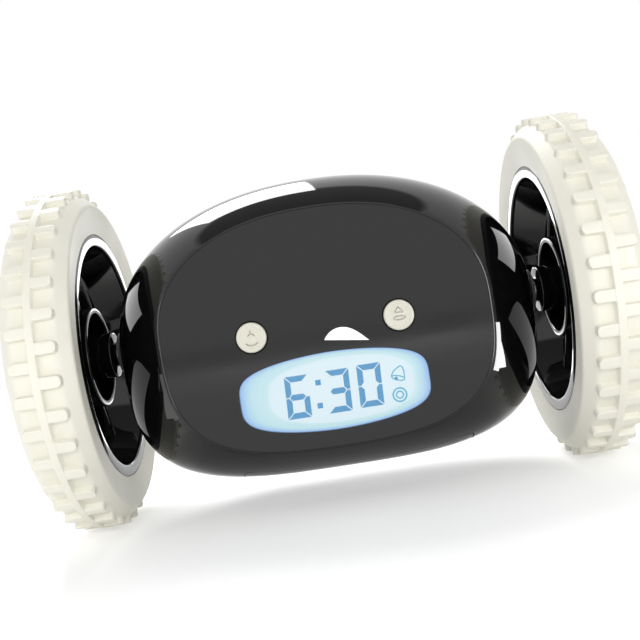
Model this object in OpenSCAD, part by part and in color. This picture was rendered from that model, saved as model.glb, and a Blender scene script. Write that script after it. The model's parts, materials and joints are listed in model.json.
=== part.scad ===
// Alarm clock on two big wheels, in millimetres.
// +X runs along the axle, the face looks towards -Y and +Z is up.
// The origin is on the floor under the middle of the axle.

/* [Body] */
// Half-width of the rounded body along the axle
body_a = 54.2; // [53:0.1:54.6]
// Height of the body's top above the axle
body_top = 37.6; // [37:0.1:41]
// Depth of the body's rounded underside below the axle
body_bottom = 37.7; // [37.4:0.1:40]
// Level of the flat underside below the axle
flat_bottom = 37.2; // [36.9:0.1:37.3]
// Half-depth of the body's rounding before the face is cut flat
body_depth = 35.6; // [35:0.1:38]
// Distance of the flat face from the axle
face_y = 27; // [26.6:0.1:28]
// Distance of the flat rear from the axle
rear_y = 27; // [26.6:0.1:28]
// Wall of the two shells
wall = 2; // [1.6:0.1:2.4]

/* [Wheels] */
// Outer radius of the tyres over their lugs
tyre_r = 44.5; // [44:0.1:50]
// Overall width over the two tyres
overall_w = 144.6; // [144:0.1:150]
// Width of one tyre
tyre_w = 16.2; // [15.6:0.1:16.8]
// Depth of the tread pockets
tread_depth = 1.7; // [1:0.1:2.2]
// Lugs in one row of the tread
lug_count = 36; // [24:1:48]
// Width of one lug around the tyre
lug_w = 2.85; // [2:0.05:3.4]
// Width of the smooth shoulder between the lugs' ends and the tyre's side
shoulder_w = 2.5; // [2:0.1:3]
// Width of the rib that runs round the middle of the tread
rib_w = 1.8; // [1.2:0.1:2.4]
// Radius of the hub where the tyre sits on it
rim_r = 32.4; // [31:0.1:34]
// Width of the flange ring at the hub's inner edge
flange_w = 3; // [2.4:0.1:4]
// Depth of the hub's dish
dish_depth = 10.5; // [8:0.1:11]
// Radius of the hub's boss
boss_r = 6; // [5:0.1:8]
// Radius of the cap over the hub's outer side
hubcap_r = 11; // [9:0.1:14]

/* [Axles and gears] */
// Radius of the wheel axles
axle_r = 2; // [1.5:0.1:2.5]
// Tooth size of the gears
gear_mod = 0.6; // [0.55:0.01:0.62]
// Teeth of the gear on the axle
output_teeth = 40; // [40:1:40]
// Teeth of the idler's large wheel
idler_teeth = 36; // [36:1:36]
// Teeth of the idler's small pinion
idler_pinion_teeth = 12; // [12:1:12]
// Teeth of the pinion on the motor's shaft
motor_teeth = 10; // [10:1:10]
// Width of the gear wheels
gear_w = 2.4; // [1.8:0.1:2.8]
// Radius of the pin that the idler turns on
pin_r = 1; // [0.8:0.05:1.2]
// Radius of the motor's can
motor_r = 7.75; // [6.5:0.05:8]
// Length of the motor's can
motor_len = 20; // [16:0.1:22]
// Radius of the motor's shaft
shaft_r = 0.75; // [0.6:0.05:0.9]
// Distance of the gearbox from the middle of the body
gearbox_s = 29; // [28.5:0.1:29.5]
// Thickness of the gearbox's plates
plate_t = 1.5; // [1.2:0.1:1.8]

/* [Face] */
// Half-width of the display window
window_a = 22.5; // [20:0.1:23]
// Half-height of the display window
window_b = 9.1; // [8:0.1:9.4]
// Height of the display window's centre above the axle
window_z = -16.3; // [-16.6:0.1:-16]
// Thickness of the face panel
panel_t = 1.6; // [1.2:0.1:1.8]
// Distance of each eye button from the middle of the face
eye_x = 17.6; // [17:0.1:18.2]
// Height of the eye buttons above the axle
eye_z = -1; // [-1.1:0.1:0.5]
// Radius of the eye buttons
eye_r = 3.6; // [3.2:0.1:3.7]
// How far the eye buttons stand out of the face
eye_proud = 1; // [0.9:0.1:1.6]
// Width of the half-moon lens over the display
lens_w = 10.6; // [8:0.1:11]
// Height of the half-moon lens over the display
lens_h = 2.9; // [2:0.1:3.1]

/* [Buttons] */
// Width of the snooze button on top
snooze_w = 26; // [20:0.1:28]
// Depth of the snooze button on top
snooze_d = 18; // [14:0.1:18.4]
// How far the snooze button stands out of the body
snooze_proud = 0.6; // [0.4:0.1:1]
// Radius of the three rear buttons
rear_button_r = 3; // [2.4:0.1:3.4]
// Spacing of the three rear buttons
rear_button_pitch = 12; // [11:0.1:13]
// Height of the rear buttons above the axle
rear_button_z = 20.5; // [20:0.1:21]

/* [Sound and power] */
// Radius of the speaker
speaker_r = 13; // [11:0.1:14]
// Radius of a battery cell
cell_r = 5.25; // [5:0.05:5.3]
// Length of a battery cell
cell_len = 44.5; // [43:0.1:45]
// Spacing of the four cells
cell_pitch = 10.8; // [10.7:0.05:10.9]

/* [Clearances] */
// Play round a piece that turns or slides on a shaft
play = 0.05; // [0.03:0.01:0.08]
// Gap round buttons, window and doors
gap = 0.3; // [0.2:0.05:0.35]

/* [Hidden] */
$fn = 64;

axle_z = tyre_r;

// Exponents of the body's rounded outlines
top_n = 2.18;
bottom_n = 3.5;
plan_n = 2.37;
side_top_n = 2.41;
side_bottom_n = 2.82;
// Rings along the body and points round a half ring
form_rings = 34;
form_points = 18;
form_end = 88.5;

// Wheel stations, measured outward along the axle from the middle
tyre_out = overall_w / 2;
tyre_in = tyre_out - tyre_w;
flange_s = tyre_in + 1;
dish_s = flange_s + dish_depth;
web_t = 2;
hub_out = dish_s + web_t;
rim_out = tyre_out - 0.9;
boss_in = tyre_in - 0.1;
seat = 0.02;
rib_proud = 0.1;
lug_root = tyre_r - 3.4;
crease_r = tyre_r - 4.8;
spoke_count = 5;
spoke_w = 2.2;
spoke_h = 3;
ring_rib_r = 12.5;
ring_rib_t = 1.4;
ring_rib_h = 7;
rib_root = 0.5;
hubcap_t = 1.2;
axle_head_r = 3;
axle_head_h = 1.2;
axle_screw_r = 0.8;
axle_screw_len = 7;

// Axle bush in the body's end
bush_r = 4;
bush_flange_r = 5.4;
bush_flange_t = 0.7;
bush_out = body_a + 0.2;
bush_in = body_a - 9;
bush_boss_r = 7.2;

// Gear train, stations measured outward from the middle
pressure = 20;
tooth_tip = 0.8;
tooth_root = 1.25;
tooth_play = 0.12;
stage_gap = 0.5;
stage1_s = gearbox_s + plate_t + 0.8;
stage2_s = stage1_s + gear_w + stage_gap;
gearbox_out = stage2_s + gear_w + 1.2;
train_d1 = gear_mod * (output_teeth + idler_pinion_teeth) / 2;
train_d2 = gear_mod * (idler_teeth + motor_teeth) / 2;
idler_at = 50;
motor_at = 163;
idler_y = train_d1 * cos(idler_at);
idler_z = train_d1 * sin(idler_at);
motor_y = idler_y + train_d2 * cos(motor_at);
motor_z = idler_z + train_d2 * sin(motor_at);
axle_in = gearbox_s - 1;
motor_boss_r = 2.6;
motor_boss_t = 1;
shaft_in = gearbox_s - 5;
shaft_out = stage1_s + gear_w + 0.2;
nose_r = axle_r + 1.6;
pillar_r = 1.6;
pillar_gap = 0.7;
tip_r = gear_mod * (output_teeth / 2 + tooth_tip);
pillar_d = tip_r + pillar_r + pillar_gap;
pillar_at = [180, 278];
block_y = tip_r + 3.2;
block_w = 4;
block_z = -4;
block_h = 5;
block_s = (gearbox_s + plate_t + gearbox_out) / 2;
frame_screw_y = block_y + block_w + 0.2;
frame_boss_r = 2.6;

// Screws
screw_r = 1.15;
screw_head_r = 2;
screw_head_h = 1.4;
shell_boss_r = 3;
shell_screw_x = body_a - 9.9;
shell_screw_z = [15, -15];
shell_screw_head_y = 11;
shell_screw_tip_y = -9;

// Face, stations measured along Y
window_nx = 1.78;
window_nz = 3.84;
front_y = -face_y;
panel_y = front_y + panel_t;
window_t = 1.4;
lcd_y = front_y + window_t + 0.2;
lcd_t = 1.4;
light_y = lcd_y + lcd_t + 0.1;
light_t = 2.2;
frame_y = light_y + light_t + 0.1;
frame_t = 0.7;
frame_wall = 1.5;
frame_x = window_a + 1 + frame_wall;
frame_z0 = window_z - window_b - 0.7 - frame_wall;
frame_z1 = window_z + window_b + 1.3;
ring_depth = 1.8;
board_y = front_y + 8.4;
board_t = 1.6;
board_x = 30;
board_top = 19;
board_bottom = -17.4;
post_r = 1.9;
post_x = 27.4;
post_z = [12, -13];
outline_points = 64;
lens_x = 4.6;
lens_z = -5;
lens_tilt = -8.5;
lens_t = 0.5;

// Buttons and their switches
switch_w = 6;
switch_h = 3;
stem_r = 1.3;
stem_hole_r = 1.45;
stem_hole_d = 2;
stem_in = 0.7;
eye_flange_r = 4.3;
eye_flange_t = 0.8;
snooze_y = 12;
snooze_flange = 1.2;
snooze_t = 1;
snooze_board_z = 25.4;
snooze_board_x = 20;
snooze_board_d = 8;
snooze_post_x = 17.6;
rear_flange_r = rear_button_r + 0.9;
rear_proud = 1;
rear_in = rear_y - wall;
rear_board_y = rear_in - 7;
rear_board_t = 1.6;
rear_board_x = 21;
rear_board_h = 8.4;
rear_post_x = 18.4;
knob_x = 24;
knob_z = -4;
knob_w = 3.4;
knob_h = 3;
knob_travel = 2;
knob_body_w = 9;
knob_body_h = 6;
knob_body_d = 3.6;
grille_r = 0.9;
grille_rows = [0, 4.2, 8.4];
speaker_z = 2.6;
speaker_t = 5;

// Battery bay, heights measured from the axle
cell_y = 1;
cell_z = -28.3;
cell_lift = 3;
cell_cap_r = 2;
cell_cap_h = 1;
contact_t = 0.8;
contact_end = cell_len / 2 + cell_cap_h + contact_t + 0.1;
tray_wall = 1.5;
tray_x = contact_end + tray_wall;
tray_top = cell_z + cell_lift + cell_r + 2;
tray_y0 = cell_y - 1.5 * cell_pitch - cell_r - 0.2;
tray_y1 = rear_in - 0.2;
tray_foot = cell_z + 2;
door_x0 = -25.6;
door_x1 = 32;
door_y0 = -19.6;
door_y1 = 21;
door_corner = 3;
door_screw_x = 28.9;
door_screw_y = 6;
door_boss_r = 3;
door_boss_top = -24;
door_rib_t = 2.4;

// ---- Helpers ----

// A profile in the Y-Z plane, drawn out along X between two stations
module slab_x(s0, s1) {
    translate([s0, 0, axle_z]) rotate([90, 0, 90]) linear_extrude(s1 - s0) children();
}

// A round bar along X, centred at a height and depth from the axle
module rod_x(s0, s1, r, y = 0, z = 0) {
    translate([s0, y, axle_z + z]) rotate([90, 0, 90]) cylinder(h = s1 - s0, r = r);
}

// A profile in the X-Z plane, drawn out along Y between two stations
module slab_y(y0, y1) {
    translate([0, y1, axle_z]) rotate([90, 0, 0]) linear_extrude(y1 - y0) children();
}

// A round bar along Y
module rod_y(x, z, y0, y1, r) {
    translate([x, y1, axle_z + z]) rotate([90, 0, 0]) cylinder(h = y1 - y0, r = r);
}

// A round bar along Z, between heights measured from the axle
module rod_z(x, y, z0, z1, r) {
    translate([x, y, axle_z + z0]) cylinder(h = z1 - z0, r = r);
}

// A box between two corners, heights measured from the axle
module box(x0, x1, y0, y1, z0, z1) {
    translate([x0, y0, axle_z + z0]) cube([x1 - x0, y1 - y0, z1 - z0]);
}

// The same piece on the left-hand wheel side
module on_left() {
    mirror([1, 0, 0]) children();
}

// Rectangle with round corners, centred
module round_rect(w, h, r) {
    square([w - 2 * r, h], center = true);
    square([w, h - 2 * r], center = true);
    for (x = [-1, 1], y = [-1, 1]) {
        translate([x * (w / 2 - r), y * (h / 2 - r)]) circle(r);
    }
}

// ---- Body form ----

function bulge(x, a, n) = pow(max(0, 1 - pow(abs(x) / a, n)), 1 / n);
function form_top(x, t) = (body_top - t) * bulge(x, body_a - t, top_n);
function form_bottom(x, t) = (body_bottom - t) * bulge(x, body_a - t, bottom_n);
function form_depth(x, t) = (body_depth - t) * bulge(x, body_a - t, plan_n);

// One point of a half ring, from the underside (-90) over the rear (0) to the top (90)
function form_point(x, at, t) = let (
        n = at > 0 ? side_top_n : side_bottom_n,
        h = at > 0 ? form_top(x, t) : form_bottom(x, t))
    [x, form_depth(x, t) * pow(abs(cos(at)), 2 / n),
        axle_z + h * sign(at) * pow(abs(sin(at)), 2 / n)];

// Half ring, with its open side carried past the middle by over
function form_ring(x, t, over) = let (
        low = form_point(x, -90, t), high = form_point(x, 90, t))
    concat(over > 0 ? [[x, -over, low[2]]] : [],
        [[x, 0, low[2]]],
        [for (j = [1:form_points - 1]) form_point(x, -90 + 180 * j / form_points, t)],
        [[x, 0, high[2]]],
        over > 0 ? [[x, -over, high[2]]] : []);

// Rear half of the rounded body, shrunk by t all round
module form(t, over = 0) {
    rings = [for (i = [0:form_rings])
        form_ring((body_a - t) * sin(form_end * (2 * i / form_rings - 1)), t, over)];
    n = len(rings[0]);
    points = [for (ring = rings) for (p = ring) p];
    skin = [for (i = [0:form_rings - 1]) for (j = [0:n - 1]) for (k = [0, 1])
        let (a = i * n, b = a + n, j2 = (j + 1) % n)
            k == 0 ? [b + j, b + j2, a + j2] : [b + j, a + j2, a + j]];
    caps = [[for (j = [0:n - 1]) j], [for (j = [n - 1:-1:0]) form_rings * n + j]];
    polyhedron(points, concat(skin, caps), convexity = 4);
}

// Everything in front of, or behind, a plane across Y
module before_y(y) {
    box(-100, 100, -100, y, -100, 100);
}
module behind_y(y) {
    box(-100, 100, y, 100, -100, 100);
}

// Half-height of the body's section at a distance y from the axle
function cut_top(x, y, t) = form_depth(x, t) <= y ? 0
    : form_top(x, t) * bulge(y, form_depth(x, t), side_top_n);
function cut_bottom(x, y, t) = form_depth(x, t) <= y ? 0
    : form_bottom(x, t) * bulge(y, form_depth(x, t), side_bottom_n);
function cut_half(y, t) = (body_a - t) * bulge(y, body_depth - t, plan_n);

// Outline of the body cut across Y, shrunk by inset
module cut_outline(y, t, inset = 0) {
    a = cut_half(y, t);
    k = (a - inset) / a;
    xs = [for (i = [0:outline_points]) a * sin(90 * (2 * i / outline_points - 1))];
    upper = [for (x = xs) [x * k, max(0, cut_top(x, y, t) - inset)]];
    lower = [for (i = [outline_points - 1:-1:1])
        [xs[i] * k, -max(0, cut_bottom(xs[i], y, t) - inset)]];
    polygon(concat(upper, lower));
}

// Vertical prism of the battery door, grown by g
module door_prism(g) {
    w = door_x1 - door_x0 + 2 * g;
    d = door_y1 - door_y0 + 2 * g;
    translate([(door_x0 + door_x1) / 2, (door_y0 + door_y1) / 2, 0]) {
        linear_extrude(axle_z - 22) round_rect(w, d, door_corner);
    }
}

// Vertical prism of the snooze button, grown by g
module snooze_prism(g) {
    translate([0, snooze_y, axle_z + 22]) {
        linear_extrude(30) round_rect(snooze_w + 2 * g, snooze_d + 2 * g, 4);
    }
}

// Bore for the bush at each end of the body, and the boss round it
module bush_bores() {
    for (side = [0, 1]) mirror([side, 0, 0]) rod_x(bush_in - 1, body_a + 1, bush_r + seat);
}
module bush_bosses() {
    for (side = [0, 1]) mirror([side, 0, 0]) rod_x(bush_in + 1, body_a - 0.6, bush_boss_r);
}

// Four screw places near the body's corners
module at_shell_screws() {
    for (side = [-1, 1], z = shell_screw_z) {
        translate([side * shell_screw_x, 0, z]) children();
    }
}

module hollow_form(t) {
    difference() {
        form(t);
        form(t + wall, 1);
    }
}

// ---- Casing ----

module front_shell() color([0.03, 0.03, 0.035]) mirror([0, 1, 0]) {
    difference() {
        union() {
            hollow_form(0);
            intersection() {
                form(0.6);
                union() {
                    bush_bosses();
                    at_shell_screws() rod_y(0, 0, 0, face_y, shell_boss_r);
                }
            }
        }
        behind_y(face_y - panel_t - 0.1);
        bush_bores();
        at_shell_screws() rod_y(0, 0, -1, -shell_screw_tip_y + 1, screw_r + play);
        mirror([0, 1, 0]) door_prism(gap);
        box(-60, 60, -1, 60, -60, -flat_bottom);
    }
}

module rear_shell() color([0.03, 0.03, 0.035]) {
    difference() {
        union() {
            difference() {
                form(0);
                intersection() {
                    form(wall, 1);
                    before_y(rear_in);
                }
            }
            intersection() {
                form(0.6);
                union() {
                    bush_bosses();
                    at_shell_screws() rod_y(0, 0, 0, rear_y, shell_boss_r);
                    for (side = [-1, 1]) {
                        rod_z(side * snooze_post_x, snooze_y, snooze_board_z + board_t, 40, 1.9);
                        rod_y(side * rear_post_x, rear_button_z, rear_board_y + rear_board_t,
                            rear_y, post_r);
                        rod_y(side * block_s, block_z, frame_screw_y, rear_y, frame_boss_r);
                    }
                    door_boss();
                }
            }
        }
        behind_y(rear_y);
        bush_bores();
        at_shell_screws() {
            rod_y(0, 0, -1, 40, screw_r + 0.15);
            rod_y(0, 0, shell_screw_head_y - screw_head_h, 40, screw_head_r + 0.2);
        }
        for (side = [-1, 1]) {
            rod_z(side * snooze_post_x, snooze_y, snooze_board_z, snooze_board_z + 5,
                screw_r + play);
            rod_y(side * rear_post_x, rear_button_z, rear_board_y, rear_board_y + 6,
                screw_r + play);
            rod_y(side * block_s, block_z, frame_screw_y - 1, rear_in - 0.4, screw_r + play);
        }
        rod_z(door_screw_x, door_screw_y, -40, door_boss_top - 1.5, screw_r + play);
        for (i = [-1:1]) {
            rod_y(i * rear_button_pitch, rear_button_z, rear_in - 1, rear_y + 1,
                rear_button_r + gap);
        }
        box(knob_x - knob_w / 2 - knob_travel - gap, knob_x + knob_w / 2 + knob_travel + gap,
            rear_in - 1, rear_y + 1, knob_z - knob_h / 2 - gap, knob_z + knob_h / 2 + gap);
        for (row = grille_rows) {
            count = row == 0 ? 1 : round(row * 1.45);
            for (i = [0:count - 1]) {
                rod_y(row * cos(360 * i / count), speaker_z + row * sin(360 * i / count),
                    rear_in - 1, rear_y + 1, grille_r);
            }
        }
        snooze_prism(gap);
        difference() {
            door_prism(gap);
            door_boss();
        }
        box(-60, 60, -1, 60, -60, -flat_bottom);
    }
}

// Boss for the battery door's screw, with a rib that ties it to the wall beside the door
module door_boss() {
    low = gap - cut_bottom(door_x1, door_screw_y + door_boss_r, wall);
    rod_z(door_screw_x, door_screw_y, low, door_boss_top, door_boss_r);
    box(door_screw_x, door_x1 + 12, door_screw_y - door_rib_t / 2,
        door_screw_y + door_rib_t / 2, low, door_boss_top);
}

// ---- Face ----

module window_outline(grow) {
    a = window_a + grow;
    b = window_b + grow;
    n = outline_points;
    polygon([for (i = [0:n - 1]) let (at = 360 * i / n)
        [a * sign(cos(at)) * pow(abs(cos(at)), 2 / window_nx),
            window_z + b * sign(sin(at)) * pow(abs(sin(at)), 2 / window_nz)]]);
}

module lens_outline(grow) {
    w = lens_w / 2 + grow;
    translate([lens_x, lens_z]) rotate(lens_tilt) {
        polygon([for (i = [0:20])
            [w * cos(180 * i / 20), -grow + (lens_h + 2 * grow) * sin(180 * i / 20)]]);
    }
}

module face_panel() color([0.2, 0.2, 0.2]) {
    difference() {
        union() {
            slab_y(front_y, panel_y) cut_outline(face_y, 0);
            slab_y(panel_y, panel_y + ring_depth) difference() {
                cut_outline(face_y - panel_t, wall, gap + 0.1);
                cut_outline(face_y - panel_t, wall, gap + 1.5);
                frame_outline(gap);
            }
            for (x = [-1, 1], z = post_z) {
                rod_y(x * post_x, z, panel_y, board_y, post_r);
            }
        }
        slab_y(front_y - 1, panel_y + 1) window_outline(0.15);
        for (x = [-1, 1]) rod_y(x * eye_x, eye_z, front_y - 1, panel_y + 1, eye_r + gap);
        slab_y(front_y - 1, front_y + lens_t) lens_outline(0.05);
        for (x = [-1, 1], z = post_z) {
            rod_y(x * post_x, z, board_y - 4.4, board_y + 1, screw_r + play);
        }
    }
}

module lcd_window() color([0.75, 0.9, 1, 0.6]) {
    slab_y(front_y + 0.1, front_y + 0.1 + window_t) window_outline(0);
}

module lcd_panel() color([0.6, 0.8, 0.95]) {
    box(-window_a - 0.8, window_a + 0.8, lcd_y, lcd_y + lcd_t,
        window_z - window_b - 0.5, window_z + window_b + 0.3);
}

module backlight() color([0.7, 0.88, 1]) {
    box(-window_a - 0.8, window_a + 0.8, light_y, light_y + light_t,
        window_z - window_b - 0.5, window_z + window_b + 0.3);
}

// Rectangle of the holder behind the display, grown by g
module frame_outline(g) {
    translate([-frame_x - g, frame_z0 - g]) {
        square([2 * (frame_x + g), frame_z1 - frame_z0 + 2 * g]);
    }
}

module lcd_frame() color([0.9, 0.9, 0.88]) {
    x = frame_x - frame_wall;
    z0 = frame_z0 + frame_wall;
    z1 = frame_z1 - 0.8;
    difference() {
        slab_y(panel_y + 0.1, frame_y + frame_t) intersection() {
            frame_outline(0);
            cut_outline(face_y - panel_t, wall, gap + 0.1);
        }
        box(-x, x, front_y, frame_y, z0, z1);
        box(-x + 4, x - 4, frame_y - 1, frame_y + frame_t + 1, z0 + 3, z1 - 3);
    }
}

module indicator_lens() color("white") {
    slab_y(front_y - 0.05, front_y + lens_t) lens_outline(0);
}

module main_board() color([0.1, 0.4, 0.2]) {
    difference() {
        box(-board_x, board_x, board_y, board_y + board_t, board_bottom, board_top);
        for (x = [-1, 1], z = post_z) {
            rod_y(x * post_x, z, board_y - 1, board_y + board_t + 1, screw_r + 0.15);
        }
    }
}

module board_screws() color([0.7, 0.7, 0.72]) {
    y = board_y + board_t;
    for (x = [-1, 1], z = post_z) {
        rod_y(x * post_x, z, board_y - 4, y, screw_r);
        rod_y(x * post_x, z, y, y + screw_head_h, screw_head_r);
    }
    z = snooze_board_z;
    for (side = [-1, 1]) {
        rod_z(side * snooze_post_x, snooze_y, z, z + 4.5, screw_r);
        rod_z(side * snooze_post_x, snooze_y, z - screw_head_h, z, screw_head_r);
        rod_y(side * rear_post_x, rear_button_z, rear_board_y, rear_board_y + 5.5, screw_r);
        rod_y(side * rear_post_x, rear_button_z, rear_board_y - screw_head_h, rear_board_y,
            screw_head_r);
    }
}

// ---- Buttons ----

module eye_button(x) {
    rod_y(x, eye_z, front_y - eye_proud, panel_y + 0.3, eye_r);
    rod_y(x, eye_z, panel_y + 0.2, panel_y + 0.2 + eye_flange_t, eye_flange_r);
    rod_y(x, eye_z, panel_y, board_y - switch_h + stem_in, stem_r);
}

module left_eye_button() color([0.95, 0.93, 0.85]) eye_button(-eye_x);
module right_eye_button() color([0.95, 0.93, 0.85]) eye_button(eye_x);

module eye_switches() color([0.25, 0.25, 0.25]) {
    h = switch_w / 2;
    for (x = [-eye_x, eye_x]) difference() {
        box(x - h, x + h, board_y - switch_h, board_y, eye_z - h, eye_z + h);
        rod_y(x, eye_z, board_y - switch_h - 1, board_y - switch_h + stem_hole_d,
            stem_hole_r);
    }
}

module snooze_button() color([0.05, 0.05, 0.055]) {
    intersection() {
        difference() {
            form(-snooze_proud);
            form(wall + gap + snooze_t, 1);
        }
        snooze_prism(0);
    }
    intersection() {
        difference() {
            form(wall + gap);
            form(wall + gap + snooze_t, 1);
        }
        snooze_prism(snooze_flange);
    }
    rod_z(0, snooze_y, snooze_board_z + board_t + switch_h - stem_in,
        cut_top(0, snooze_y, wall) - snooze_t, stem_r);
}

module snooze_board() color([0.1, 0.4, 0.2]) {
    z = snooze_board_z;
    difference() {
        box(-snooze_board_x, snooze_board_x, snooze_y - snooze_board_d / 2,
            snooze_y + snooze_board_d / 2, z, z + board_t);
        for (x = [-1, 1]) {
            rod_z(x * snooze_post_x, snooze_y, z - 1, z + board_t + 1, screw_r + 0.15);
        }
    }
}

module snooze_switch() color([0.25, 0.25, 0.25]) {
    z = snooze_board_z + board_t;
    h = switch_w / 2;
    difference() {
        box(-h, h, snooze_y - h, snooze_y + h, z, z + switch_h);
        rod_z(0, snooze_y, z + switch_h - stem_hole_d, z + switch_h + 1, stem_hole_r);
    }
}

module rear_board() color([0.1, 0.4, 0.2]) {
    z = rear_button_z;
    difference() {
        box(-rear_board_x, rear_board_x, rear_board_y, rear_board_y + rear_board_t,
            z - rear_board_h / 2, z + rear_board_h / 2);
        for (x = [-1, 1]) {
            rod_y(x * rear_post_x, z, rear_board_y - 1, rear_board_y + 3, screw_r + 0.15);
        }
    }
}

module rear_switches() color([0.25, 0.25, 0.25]) {
    y = rear_board_y + rear_board_t;
    z = rear_button_z;
    h = switch_w / 2;
    for (i = [-1:1]) difference() {
        box(i * rear_button_pitch - h, i * rear_button_pitch + h, y, y + switch_h, z - h, z + h);
        rod_y(i * rear_button_pitch, z, y + switch_h - stem_hole_d, y + switch_h + 1,
            stem_hole_r);
    }
}

module rear_button(i) {
    x = i * rear_button_pitch;
    z = rear_button_z;
    rod_y(x, z, rear_in - 0.4, rear_y + rear_proud, rear_button_r);
    rod_y(x, z, rear_in - 0.3 - eye_flange_t, rear_in - 0.3, rear_flange_r);
    rod_y(x, z, rear_board_y + rear_board_t + switch_h - stem_in, rear_in, stem_r);
}

module hour_button() color([0.9, 0.9, 0.88]) rear_button(-1);
module minute_button() color([0.9, 0.9, 0.88]) rear_button(0);
module delay_button() color([0.9, 0.9, 0.88]) rear_button(1);

module wheel_switch_body() color([0.3, 0.3, 0.32]) {
    y1 = rear_in - 0.2;
    w = knob_body_w / 2;
    h = knob_body_h / 2;
    difference() {
        box(knob_x - w, knob_x + w, y1 - knob_body_d, y1, knob_z - h, knob_z + h);
        box(knob_x - w + 0.8, knob_x + w - 0.8, y1 - knob_body_d + 1, y1 + 1,
            knob_z - 1.2, knob_z + 1.2);
    }
}

module wheel_switch_knob() color([0.9, 0.9, 0.88]) {
    box(knob_x - knob_w / 2, knob_x + knob_w / 2, rear_in, rear_y + 0.9,
        knob_z - knob_h / 2, knob_z + knob_h / 2);
    box(knob_x - 1, knob_x + 1, rear_in - knob_body_d + 1.2, rear_in, knob_z - 1, knob_z + 1);
}

module speaker() color([0.35, 0.35, 0.37]) {
    y1 = rear_in - 0.2;
    difference() {
        rod_y(0, speaker_z, y1 - speaker_t, y1, speaker_r);
        rod_y(0, speaker_z, y1 - 0.8, y1 + 1, speaker_r - 2);
    }
    rod_y(0, speaker_z, y1 - speaker_t - 3, y1 - speaker_t, speaker_r * 0.5);
}

// ---- Battery bay ----

function cell_at(i) = [cell_y + (i - 1.5) * cell_pitch,
    cell_z + (abs(i - 1.5) > 1 ? cell_lift : 0)];

module battery_cells() color([0.55, 0.6, 0.6]) {
    for (i = [0:3]) {
        at = cell_at(i);
        way = i % 2 == 0 ? 1 : -1;
        rod_x(-cell_len / 2, cell_len / 2, cell_r, at[0], at[1]);
        rod_x(way > 0 ? cell_len / 2 : -cell_len / 2 - cell_cap_h,
            way > 0 ? cell_len / 2 + cell_cap_h : -cell_len / 2, cell_cap_r, at[0], at[1]);
    }
}

module battery_contacts() color([0.8, 0.8, 0.8]) {
    for (side = [0, 1]) mirror([side, 0, 0]) {
        x = cell_len / 2 + cell_cap_h;
        for (i = [0:3]) {
            at = cell_at(i);
            plus = (i % 2 == 0) == (side == 0);
            box(x, x + contact_t, at[0] - 4, at[0] + 4, at[1] - 2.6, at[1] + 4);
            if (!plus) rod_x(x - cell_cap_h + 0.02, x, 2.6, at[0], at[1]);
        }
    }
}

module battery_tray() color([0.16, 0.16, 0.17]) {
    box(-tray_x, tray_x, tray_y0, tray_y1, tray_top - tray_wall, tray_top);
    for (side = [-1, 1]) {
        x = side * (contact_end + tray_wall / 2);
        box(x - tray_wall / 2, x + tray_wall / 2, tray_y0, tray_y1 - 3, tray_foot,
            tray_top - tray_wall);
    }
}

module door_skin(t0, t1) {
    for (side = [0, 1]) mirror([0, side, 0]) difference() {
        form(t0, 0.5);
        form(t1, 1);
    }
}

module battery_door() color([0.04, 0.04, 0.045]) {
    difference() {
        intersection() {
            door_skin(0, wall);
            door_prism(0);
        }
        box(-60, 60, -60, 60, -60, -flat_bottom);
        rod_z(door_screw_x, door_screw_y, -40, -20, screw_r + 0.2);
        rod_z(door_screw_x, door_screw_y, -40, -flat_bottom + 1.2 + door_rise(),
            screw_head_r + 0.2);
    }
}

// Height of the curved underside at the door's screw, over the flat
function door_rise() = flat_bottom
    - form_bottom(door_screw_x, 0) * bulge(door_screw_y, form_depth(door_screw_x, 0),
        side_bottom_n);

module battery_door_screw() color([0.7, 0.7, 0.72]) {
    z = -flat_bottom + 1.2 + door_rise();
    rod_z(door_screw_x, door_screw_y, z - 0.9, z, screw_head_r);
    rod_z(door_screw_x, door_screw_y, z, z + 8, screw_r);
}

module shell_screws() color([0.7, 0.7, 0.72]) {
    at_shell_screws() {
        rod_y(0, 0, shell_screw_tip_y, shell_screw_head_y - screw_head_h, screw_r);
        rod_y(0, 0, shell_screw_head_y - screw_head_h, shell_screw_head_y, screw_head_r);
    }
}

// ---- Wheels ----

// Outline of one row of lugs, left long for the tread's envelope to trim
module lug_row(turn) {
    step = 360 / lug_count;
    half = lug_w / tyre_r * 90 / PI;
    rotate(turn) polygon([for (i = [0:lug_count - 1]) for (k = [0:3])
        let (r = (k == 1 || k == 2) ? tyre_r + 1 : lug_root,
            at = i * step + [-half, -half, half, half][k])
            [r * cos(at), r * sin(at)]]);
}

module tyre() {
    floor_r = tyre_r - tread_depth;
    lug_r = tyre_r - rib_proud;
    rod = tyre_w / 2;
    reach = rod - shoulder_w;
    translate([tyre_in + rod, 0, axle_z]) rotate([90, 0, 90]) {
        rotate_extrude() polygon([[rim_r + seat, 1 - rod], [crease_r, -rod],
            [crease_r + 0.8, 0.5 - rod], [floor_r - 0.35, -0.3 - reach], [floor_r, 0.4 - reach],
            [floor_r, -rib_w / 2], [tyre_r, -rib_w / 2], [tyre_r, rib_w / 2],
            [floor_r, rib_w / 2], [floor_r, reach - 0.4], [floor_r - 0.35, reach + 0.3],
            [crease_r + 0.8, rod - 0.5], [crease_r, rod], [rim_r + seat, rod - 1]]);
        intersection() {
            union() {
                translate([0, 0, -rod - 1]) linear_extrude(rod + 1.3) lug_row(180 / lug_count);
                translate([0, 0, -0.3]) linear_extrude(rod + 1.3) lug_row(0);
            }
            rotate_extrude() polygon([[lug_root - 1, -reach], [lug_r - 0.5, -reach],
                [lug_r - 0.15, 0.15 - reach], [lug_r, 0.5 - reach], [lug_r, reach - 0.5],
                [lug_r - 0.15, reach - 0.15], [lug_r - 0.5, reach], [lug_root - 1, reach]]);
        }
    }
}

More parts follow.
